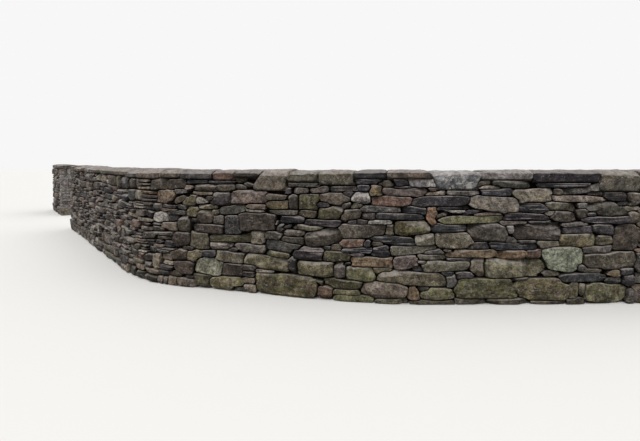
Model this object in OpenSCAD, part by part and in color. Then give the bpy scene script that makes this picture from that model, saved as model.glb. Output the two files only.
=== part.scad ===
// Curved dry stone retaining wall with an opening near its far end.
// The wall is laid out along the foot of its front face, from its right end round to its left end.

/* [Section] */
// Height of the wall from the ground to the top of the coping
wall_h = 1480; // [1300:10:1650]
// Height of the foundation course of large blocks
footing_h = 250; // [180:10:300]
// Thickness of the coping course
cope_h = 125; // [100:5:160]
// Depth of the front face stones into the wall
front_leaf = 230; // [200:5:280]
// Depth of the back face stones into the wall
back_leaf = 170; // [140:5:220]
// Width of the hearting between the two faces, at the ground
heart_foot = 220; // [160:5:280]
// Width of the hearting between the two faces, at the top of the wall
heart_top = 80; // [50:5:140]
// How far the front face leans back over the height of the wall
front_batter = 60; // [20:5:100]
// Mean height of a course of face stones
course_h = 135; // [110:5:200]

/* [Plan] */
// Length of the straight right bay
right_len = 3400; // [2600:50:4200]
// Radius of the slow bend, at the foot of the front face
bend_r = 3000; // [2400:50:4000]
// Angle that the slow bend turns through
bend_turn = 20; // [12:1:28]
// Length of the straight middle bay
middle_len = 1900; // [1500:50:2800]
// Radius of the corner bend, at the foot of the front face
corner_r = 2200; // [1600:50:2600]
// Angle that the corner bend turns through
corner_turn = 38; // [25:1:50]
// Length of each of the two bays of the left run
left_len = 2880; // [2200:20:3400]
// Width of the opening in the left run
opening_w = 3300; // [1200:50:3600]
// Length of the bay beyond the opening
outer_len = 2100; // [1600:50:2800]
// How far the bay beyond the opening stands back from the line of the left run
outer_back = 165; // [0:5:250]

/* [Stones] */
// Mean length of a foundation block
footing_len = 560; // [440:10:700]
// How far the foundation blocks stand proud of the face
footing_proud = 35; // [15:5:60]
// Mean length of a capstone
cap_len = 440; // [360:10:620]
// How far the capstones overhang the faces
cap_overhang = 20; // [10:2:40]
// Size of the worn upper edge of a capstone
cap_round = 48; // [25:1:60]
// Gap between neighbouring capstones, and between foundation blocks
stone_gap = 10; // [6:1:20]
// Number of stones stacked in each wall end
quoin_count = 7; // [5:1:9]
// Length of the long stones in a wall end
quoin_long = 360; // [300:10:440]
// Length of the short stones in a wall end
quoin_short = 220; // [180:10:280]

/* [Hidden] */
bay_name = ["right_bay", "bend_bay", "middle_bay", "corner_bay", "left_bay", "gate_bay", "opening", "outer_bay"];
layers = ["footing", "front_face", "hearting", "back_face", "coping"];
end_name = ["right_end_quoins", "opening_near_quoins", "opening_far_quoins", "outer_end_quoins"];
built = [for (b = [0 : len(bay_name) - 1]) if (bay_name[b] != "opening") b];

bed = wall_h - cope_h;              // level that the coping is bedded at
foot_w = front_leaf + heart_foot + back_leaf;
joint_tall = 10;                    // open height of a bed joint between courses
joint_deep = 18;                    // depth of a bed joint
face_jitter = 10;                   // a course stands up to this much out or in from the batter line
seat = 0.3;                         // a wall-end stone lies this much clear of the beds above and below
nose = 16;                          // how far a rough stone's edges fall back from its middle
cap_uneven = 14;                    // difference in level between capstones
cap_skew = 30;                      // how far a joint between capstones runs off square
overcut = 300;                      // how far a cutting shape runs past the faces of the wall
overrun = 60;                       // how far a cutting shape runs past the ends, top and foot of a bay

// Capstones from the right end, as length and as drop into the face below the bed
near_caps = [[560, 0], [560, 0], [400, 110], [730, 0], [600, 0], [490, 90], [510, 0], [400, 0], [430, 45],
             [380, 0], [390, 125], [300, 0], [290, 0], [450, 0], [380, 0]];
// Foundation blocks from the right end, as length
near_blocks = [600, 580, 560, 690, 670, 520, 540, 470, 800, 650, 480];

// Each bay is its length along the foot of the front face and its radius, 0 where it is straight
bays = [[right_len, 0], [bend_r * bend_turn * PI / 180, bend_r], [middle_len, 0],
        [corner_r * corner_turn * PI / 180, corner_r], [left_len, 0], [left_len, 0],
        [opening_w, 0], [outer_len, 0]];

// Unit vector into the wall for a heading, and the turn made in a length t of radius r
function inward(h) = [sin(h), -cos(h)];
function turned(t, r) = r == 0 ? 0 : t / r * 180 / PI;
// The point reached from p, heading h, after a length t of radius r
function reach(p, h, t, r) = r == 0 ? p + t * [cos(h), sin(h)] : p + r * (inward(h) - inward(h - turned(t, r)));
// Where each bay begins: its point on the foot line, its heading, and its distance from the right end
begins = [for (b = 0, p = [right_len / 2, -foot_w / 2], h = 180, s = 0; b <= len(bays);
              p = b < len(bays) ? reach(p, h, bays[b][0], bays[b][1])
                                  + (bay_name[b] == "opening" ? outer_back : 0) * inward(h) : p,
              h = b < len(bays) ? h - turned(bays[b][0], bays[b][1]) : h,
              s = b < len(bays) ? s + bays[b][0] : s, b = b + 1) [p, h, s]];
function bay_end(b) = begins[b + 1][2];
function bay_start(b) = begins[b][2];
run_end = bay_start(search(["opening"], bay_name)[0]);
outer_start = bay_end(search(["opening"], bay_name)[0]);
// The bay that holds the distance s from the right end
function bay_of(s) = max([for (b = [0 : len(bays) - 1]) if (b == 0 || s >= bay_start(b)) b]);
// A point of the wall: s along the foot line, d into the wall from it, z above the ground
function wall_point(s, d, z) = let (
    b = bay_of(s),
    t = s - bay_start(b),
    p = reach(begins[b][0], begins[b][1], t, bays[b][1]) + d * inward(begins[b][1] - turned(t, bays[b][1])))
    [p[0], p[1], z];

// Lines of the section at height z, measured in from the foot line
function front_at(z) = front_batter * z / wall_h;
function heart_front(z) = front_at(z) + front_leaf;
function heart_back(z) = heart_front(z) + heart_foot + (heart_top - heart_foot) * z / wall_h;
function back_at(z) = heart_back(z) + back_leaf;

function sum_to(v, n) = n <= 0 ? 0 : v[n - 1] + sum_to(v, n - 1);
// Cuts the stretch from a to b into unequal shares, as their ends
function shares(a, b, weights) = let (all = sum_to(weights, len(weights)))
    [for (i = [0 : len(weights)]) a + (b - a) * sum_to(weights, i) / all];
function random_shares(a, b, mean, spread, seed) =
    shares(a, b, rands(1 - spread, 1 + spread, max(2, round((b - a) / mean)), seed));
// Ends of the stones from the right end to the opening, the first ones of the given lengths
function run_stones(near, mean, seed) = let (
    fits = [for (i = [0 : len(near)]) if (sum_to(near, i) < run_end - 2 * mean) sum_to(near, i)])
    concat(fits, [for (s = random_shares(max(fits), run_end, mean, 0.25, seed)) if (s > max(fits)) s]);
function course_levels(seed) = random_shares(footing_h, bed, course_h, 0.35, seed);

// Draws its 2D section, d across and z up, along bay b from distance s0 to s1
module along(b, s0, s1) {
    r = bays[b][1];
    h = begins[b][1];
    p = reach(begins[b][0], h, s1 - bay_start(b), r);
    if (r == 0)
        translate([p[0], p[1], 0]) rotate([0, 0, h + 180]) rotate([90, 0, 90])
            linear_extrude(s1 - s0) children();
    else {
        c = begins[b][0] + r * inward(h);
        translate([c[0], c[1], 0]) rotate([0, 0, h - turned(s1 - bay_start(b), r) + 90])
            rotate_extrude(angle = turned(s1 - s0, r), $fn = 180)
                translate([r, 0]) mirror([1, 0]) children();
    }
}

// Outer edge of a face laid in courses: dir is 1 for the front and -1 for the back
function coursed_edge(levels, line, dir, seed) = let (j = rands(-face_jitter, face_jitter, len(levels), seed))
    [for (i = [0 : len(levels) - 2]) let (
        first = i == 0,
        last = i == len(levels) - 2,
        d = line((levels[i] + levels[i + 1]) / 2) - dir * j[i],
        z0 = levels[i] + (first ? 0 : joint_tall / 2),
        z1 = levels[i + 1] - (last ? 0 : joint_tall / 2))
        each concat(first ? [] : [[d + dir * joint_deep, z0]], [[d, z0], [d, z1]],
                    last ? [] : [[d + dir * joint_deep, z1]])];

// Clears from bay b what the deep capstones and the stones of the wall ends take up
module clearances(b) {
    for (c = caps)
        if (c[2] > 0 && c[0] < bay_end(b) && c[1] > bay_start(b))
            along(b, max(c[0], bay_start(b) - overrun), min(c[1], bay_end(b) + overrun))
                translate([-overcut, bed - c[2]]) square([foot_w + 2 * overcut, c[2] + overcut]);
    for (e = wall_ends)
        if (bay_of(e[0] + e[1]) == b)
            for (q = quoins(e)) let (
                outer = q[1] - e[1] * overrun,
                low = q[2] > footing_h ? q[2] : footing_h - overrun,
                high = q[3] < bed ? q[3] : bed + overrun)
                along(b, min(q[0], outer), max(q[0], outer))
                    translate([-overcut, low]) square([foot_w + 2 * overcut, high - low]);
}

// One layer of bay b, between two lines of the section, cleared for the stones let into it
module layer(b, section, tint) {
    color(tint) difference() {
        along(b, bay_start(b), bay_end(b)) polygon(section);
        clearances(b);
    }
}

module front_face(b)
    layer(b, concat(coursed_edge(course_levels(11 + b), function(z) front_at(z), 1, 31 + b),
                    [[heart_front(bed), bed], [heart_front(footing_h), footing_h]]), [0.36, 0.34, 0.30]);

module back_face(b)
    layer(b, concat(coursed_edge(course_levels(51 + b), function(z) back_at(z), -1, 71 + b),
                    [[heart_back(bed), bed], [heart_back(footing_h), footing_h]]), [0.38, 0.36, 0.33]);

module hearting(b)
    layer(b, [[heart_front(footing_h), footing_h], [heart_back(footing_h), footing_h],
              [heart_back(bed), bed], [heart_front(bed), bed]], [0.24, 0.22, 0.20]);

// A closed solid lofted through rings of points that all have the same count
module loft(rings) {
    m = len(rings[0]);
    n = len(rings);
    polyhedron(
        points = [for (r = rings) each r],
        faces = concat(
            [for (j = [1 : m - 2]) [0, j + 1, j]],
            [for (j = [1 : m - 2]) [(n - 1) * m, (n - 1) * m + j, (n - 1) * m + j + 1]],
            [for (i = [0 : n - 2]) for (j = [0 : m - 1]) let (k = (j + 1) % m)
                each [[i * m + j, i * m + k, (i + 1) * m + k], [i * m + j, (i + 1) * m + k, (i + 1) * m + j]]]));
}

stone_tint = [[0.40, 0.37, 0.33], [0.30, 0.30, 0.30], [0.44, 0.40, 0.36], [0.35, 0.36, 0.29],
              [0.33, 0.29, 0.32], [0.46, 0.38, 0.32], [0.28, 0.27, 0.25]];
function tint_of(i) = stone_tint[(3 * i + floor(i / 4)) % len(stone_tint)];

// Capstones, each as the distances at which it starts and ends and its drop below the bed
caps = let (
    run = run_stones([for (c = near_caps) c[0]], cap_len, 91),
    outer = random_shares(outer_start, bay_end(len(bays) - 1), cap_len, 0.25, 92))
    concat([for (i = [0 : len(run) - 2]) [run[i], run[i + 1], i < len(near_caps) ? near_caps[i][1] : 0]],
           [for (i = [0 : len(outer) - 2]) [outer[i], outer[i + 1], 0]]);

// Section of a capstone at one station, with random numbers j from -1 to 1
function cap_ring(s, z0, lift, skew, shrink, j) = let (
    f = front_at(bed) - cap_overhang + shrink,
    k = back_at(bed) + cap_overhang - shrink,
    top = wall_h + lift - shrink,
    mid = (f + k) / 2,
    section = [[f + nose, z0], [f + 5 * j[0], z0 + (top - z0) * 0.35], [f + 4 + 4 * j[1], top - cap_round],
               [f + cap_round * 0.4, top - cap_round * 0.3], [f + cap_round * 1.3, top - 3 + 3 * j[2]],
               [mid, top + 5 * j[3]], [k - cap_round, top - 4 + 4 * j[4]], [k - 4 + 4 * j[5], top - cap_round],
               [k, z0 + (top - z0) * 0.35], [k - nose, z0]])
    [for (p = section) wall_point(s + skew * (p[0] - mid) / (k - f), p[0], p[1])];

module capstone(i) {
    c = caps[i];
    r = rands(-1, 1, 40, 200 + i);
    // A joint beside a deep stone or at an end of the wall is square, and the others run a little off square
    shallow = [for (k = [i - 1 : i + 1]) k >= 0 && k < len(caps) && caps[k][2] == 0];
    skews = rands(-cap_skew, cap_skew, 1, 500 + i)[0] * (shallow[0] && shallow[1] ? 1 : 0);
    skewe = rands(-cap_skew, cap_skew, 1, 501 + i)[0] * (shallow[1] && shallow[2] ? 1 : 0);
    span = c[1] - c[0] - stone_gap;
    color(tint_of(i))
        loft([for (s = [0 : 4]) cap_ring(c[0] + stone_gap / 2 + span * [0, 0.08, 0.5, 0.92, 1][s], bed - c[2],
             cap_uneven * (r[30] - 1 + 0.4 * r[31 + s]) / 2, skews + (skewe - skews) * s / 4,
             s == 0 || s == 4 ? nose : 0, [for (q = [0 : 5]) r[6 * s + q]])]);
}

module coping(b)
    for (i = [0 : len(caps) - 1])
        if (bay_of(caps[i][0]) == b) capstone(i);

// Foundation blocks, each as the distances at which it starts and ends
blocks = let (
    run = run_stones(near_blocks, footing_len, 301),
    outer = random_shares(outer_start, bay_end(len(bays) - 1), footing_len, 0.25, 302))
    concat([for (i = [0 : len(run) - 2]) [run[i], run[i + 1]]],
           [for (i = [0 : len(outer) - 2]) [outer[i], outer[i + 1]]]);

// Section of a foundation block: flat above and below, with a rounded rough nose at each side
function block_ring(s, proud, tail) = let (f = front_at(footing_h), k = back_at(0))
    [for (p = [[f - proud + nose, 0], [f - proud, footing_h * 0.3], [f - proud, footing_h * 0.7],
               [f - proud + nose, footing_h], [k + tail - nose, footing_h], [k + tail, footing_h * 0.7],
               [k + tail, footing_h * 0.3], [k + tail - nose, 0]])
        wall_point(s, p[0], p[1])];

module foundation_block(i) {
    r = rands(0.35, 1, 10, 320 + i);
    span = blocks[i][1] - blocks[i][0] - stone_gap;
    color(tint_of(i + 2))
        loft([for (s = [0 : 4]) let (side = s == 0 || s == 4 ? nose : 0)
            block_ring(blocks[i][0] + stone_gap / 2 + span * [0, 0.1, 0.5, 0.9, 1][s],
                       footing_proud * r[s] - side, footing_proud * r[5 + s] - side)]);
}

module footing(b)
    for (i = [0 : len(blocks) - 1])
        if (bay_of(blocks[i][0]) == b) foundation_block(i);

// Wall ends: the distance of the outer face, the direction into the wall, and a seed
wall_ends = [[0, 1, 401], [run_end, -1, 402], [outer_start, 1, 403], [bay_end(len(bays) - 1), -1, 404]];
// Stones of a wall end from the footing up: inner end, outer end, bottom and top
function quoins(e) = let (
    levels = [for (z = shares(footing_h, bed, rands(0.75, 1.25, quoin_count, e[2]))) round(z)])
    [for (i = [0 : quoin_count - 1])
        [e[0] + e[1] * (i % 2 == 0 ? quoin_long : quoin_short), e[0], levels[i], levels[i + 1]]];

module wall_end(e) {
    all = quoins(e);
    for (i = [0 : len(all) - 1]) {
        q = all[i];
        r = rands(0, 1, 16, e[2] + 20 * i);
        z0 = q[2] + seat;
        z1 = q[3] - seat;
        mid = (z0 + z1) / 2;
        f = front_at(mid) - face_jitter * r[0];
        k = back_at(mid) + face_jitter * r[1];
        rings = [for (s = [0 : 4]) let (
            edge = s == 0 || s == 4,
            d = f + (k - f) * [0, 0.08, 0.5, 0.92, 1][s],
            out = q[1] + e[1] * ((edge ? nose : 0) + 5 * r[4 + s]),
            lip = e[1] * nose * 0.6)
            [wall_point(q[0], d, z0), wall_point(q[0], d, z1), wall_point(out + lip, d, z1),
             wall_point(out, d, z0 + (z1 - z0) * 0.7), wall_point(out, d, z0 + (z1 - z0) * 0.3),
             wall_point(out + lip, d, z0)]];
        color(tint_of(i + e[2]))
            loft(e[1] > 0 ? [for (s = [4 : -1 : 0]) rings[s]] : rings);
    }
}

module bay_layer(b, layer) {
    if (layer == "footing") footing(b);
    if (layer == "front_face") front_face(b);
    if (layer == "hearting") hearting(b);
    if (layer == "back_face") back_face(b);
    if (layer == "coping") coping(b);
}

for (b = built)
    for (layer = layers)
        bay_layer(b, layer);
for (i = [0 : len(wall_ends) - 1])
    wall_end(wall_ends[i]);
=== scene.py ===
import bpy
import numpy as np
from math import radians
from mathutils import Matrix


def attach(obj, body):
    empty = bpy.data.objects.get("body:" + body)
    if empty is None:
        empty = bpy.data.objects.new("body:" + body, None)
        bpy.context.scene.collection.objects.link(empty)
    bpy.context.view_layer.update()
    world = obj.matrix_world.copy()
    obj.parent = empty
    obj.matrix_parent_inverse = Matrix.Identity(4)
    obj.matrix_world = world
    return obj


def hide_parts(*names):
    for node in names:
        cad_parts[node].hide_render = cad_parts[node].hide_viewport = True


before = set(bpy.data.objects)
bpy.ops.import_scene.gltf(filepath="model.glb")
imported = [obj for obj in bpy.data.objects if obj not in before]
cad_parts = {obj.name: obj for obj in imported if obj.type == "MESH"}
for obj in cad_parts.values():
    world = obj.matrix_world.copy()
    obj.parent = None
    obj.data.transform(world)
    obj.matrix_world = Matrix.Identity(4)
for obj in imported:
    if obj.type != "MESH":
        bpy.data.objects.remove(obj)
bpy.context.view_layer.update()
print("frame loaded:", len(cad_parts), "nodes")

# The wall is laid out along the foot of its front face, in metres from its right end round to its left end.
wallPlan = {
    "bays": [("right_bay", 3.4, 0), ("bend_bay", 3.0 * radians(20), 3.0), ("middle_bay", 1.9, 0),
             ("corner_bay", 2.2 * radians(38), 2.2), ("left_bay", 2.88, 0), ("gate_bay", 2.88, 0),
             ("opening", 3.3, 0), ("outer_bay", 2.1, 0)],   # name, length, radius or 0 where straight
    "outerBack": 0.165,      # how far the stretch beyond the opening stands back
    "start": (1.7, -0.31),   # foot of the front face at the right end
    "height": 1.48,
    "bed": 1.355,            # level that the coping is bedded at
    "blockTop": 0.25,        # top of the foundation blocks
    "frontBatter": 0.06,
    "frontLeaf": 0.23,
    "heartFoot": 0.22,
    "heartTop": 0.08,
    "backLeaf": 0.17,
}


# Bays as arrays: where each begins along the foot, its first point, its heading and its radius.
def planBays():
    point, heading, along, rows = np.array(wallPlan["start"]), np.pi, 0.0, []
    for name, length, radius in wallPlan["bays"]:
        rows.append((along, point[0], point[1], heading, radius))
        if radius:
            turned = heading - length / radius
            across = np.array([np.sin(heading) - np.sin(turned), np.cos(turned) - np.cos(heading)])
            point = point + radius * across
            heading = turned
        else:
            point = point + length * np.array([np.cos(heading), np.sin(heading)])
        if name == "opening":
            point = point + wallPlan["outerBack"] * np.array([np.sin(heading), -np.cos(heading)])
        along += length
    return np.array(rows), along


bayRows, wallEnd = planBays()
bayStart = {bay[0]: row[0] for bay, row in zip(wallPlan["bays"], bayRows)}
runEnd, outerStart = bayStart["opening"], bayStart["outer_bay"]
# The line steps back inside the opening
bayEdges = bayRows[:, 0] - np.where(bayRows[:, 0] == outerStart, 1.0, 0.0)


# Whether the wall stops at distance s on the way out: at the opening or at its outer end
def stopsAt(s):
    return min(abs(s - runEnd), abs(s - wallEnd)) < 0.01


# s along the foot line, d into the wall from it, z up: straight bays run on, bends turn about their centre.
def wallPoint(s, d, z):
    s, d, z = np.broadcast_arrays(s, d, z)
    bay = np.clip(np.searchsorted(bayEdges, s, side="right") - 1, 0, len(bayRows) - 1)
    begin, x0, y0, heading, radius = [bayRows[bay, i] for i in range(5)]
    t = s - begin
    bent = radius > 0
    turned = heading - np.where(bent, t / np.where(bent, radius, 1), 0)
    x = x0 + np.where(bent, radius * (np.sin(heading) - np.sin(turned)), t * np.cos(heading))
    y = y0 + np.where(bent, radius * (np.cos(turned) - np.cos(heading)), t * np.sin(heading))
    return np.stack([x + d * np.sin(turned), y - d * np.cos(turned), z], -1)


def frontAt(z):
    return wallPlan["frontBatter"] * z / wallPlan["height"]


def backAt(z):
    heart = wallPlan["heartFoot"] + (wallPlan["heartTop"] - wallPlan["heartFoot"]) * z / wallPlan["height"]
    return frontAt(z) + wallPlan["frontLeaf"] + heart + wallPlan["backLeaf"]


# Stone colours as seen on the wall, 0 to 255, with how much lichen, moss and layering each kind carries.
stoneTones = {
    "olive": ((108, 99, 82), 0.35, 0.8, 0.2),
    "moss": ((104, 98, 76), 0.3, 1.0, 0.1),
    "greenGrey": ((108, 102, 91), 0.55, 0.45, 0.1),
    "darkOlive": ((80, 75, 61), 0.3, 0.8, 0.2),
    "lightOlive": ((126, 119, 97), 0.45, 0.75, 0.1),
    "paleGreen": ((140, 142, 126), 0.8, 0.35, 0.0),
    "brown": ((84, 76, 70), 0.2, 0.15, 0.2),
    "darkBrown": ((72, 64, 60), 0.15, 0.05, 0.3),
    "brownGrey": ((94, 86, 78), 0.3, 0.25, 0.2),
    "grey": ((94, 89, 86), 0.4, 0.1, 0.3),
    "darkGrey": ((69, 66, 68), 0.25, 0.05, 0.4),
    "slate": ((58, 56, 61), 0.2, 0.0, 0.9),
    "purple": ((60, 54, 58), 0.2, 0.0, 0.9),
    "tan": ((118, 106, 95), 0.25, 0.1, 0.2),
    "pink": ((113, 101, 95), 0.3, 0.05, 0.2),
    "orange": ((132, 111, 91), 0.15, 0.1, 0.2),
    "brick": ((140, 113, 90), 0.1, 0.05, 0.2),
    "rust": ((113, 91, 81), 0.15, 0.05, 0.2),
    "pale": ((136, 126, 117), 0.4, 0.05, 0.3),
    "white": ((150, 145, 140), 0.9, 0.0, 0.2),
    "lichen": ((134, 130, 129), 1.0, 0.1, 0.0),
    "ash": ((147, 139, 138), 0.5, 0.0, 0.3),
    "blotched": ((134, 132, 133), 1.6, 0.0, 0.0),
}
toneNames = list(stoneTones)
toneLevel = 0.92         # share of these colours that the stones are made with


def toLinear(rgb):
    c = np.asarray(rgb, float) / 255
    return np.where(c > 0.04045, ((c + 0.055) / 1.055) ** 2.4, c / 12.92)


toneColour = toneLevel * np.array([toLinear(stoneTones[t][0]) for t in toneNames])
toneKind = np.array([stoneTones[t][1:] for t in toneNames])


# Smooth value noise from -1 to 1: random heights on a unit lattice, blended by smoothstep weights.
def latticeNoise(p, seed):
    base = np.floor(p).astype(np.int64)
    w = p - base
    w = w * w * (3 - 2 * w)
    total = 0
    for corner in range(8):
        step = np.array([corner & 1, corner >> 1 & 1, corner >> 2 & 1])
        c = base + step
        mixed = c[..., 0] * 73856093 ^ c[..., 1] * 19349663 ^ c[..., 2] * 83492791 ^ seed * 2654435761
        mixed = mixed & 0x7FFFFFFF
        mixed = (mixed ^ mixed >> 13) * 1274126177 & 0x7FFFFFFF
        mixed = (mixed ^ mixed >> 16) * 668265263 & 0x7FFFFFFF
        weight = np.prod(np.where(step, w, 1 - w), -1)
        total = total + weight * (mixed / 0x3FFFFFFF - 1)
    return total


# Sum of lattice noise at doubling scales and halving heights.
def roughness(p, seed, octaves=3):
    return sum(latticeNoise(p * 2.03 ** k, seed + k) * 0.5 ** k for k in range(octaves))


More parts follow.
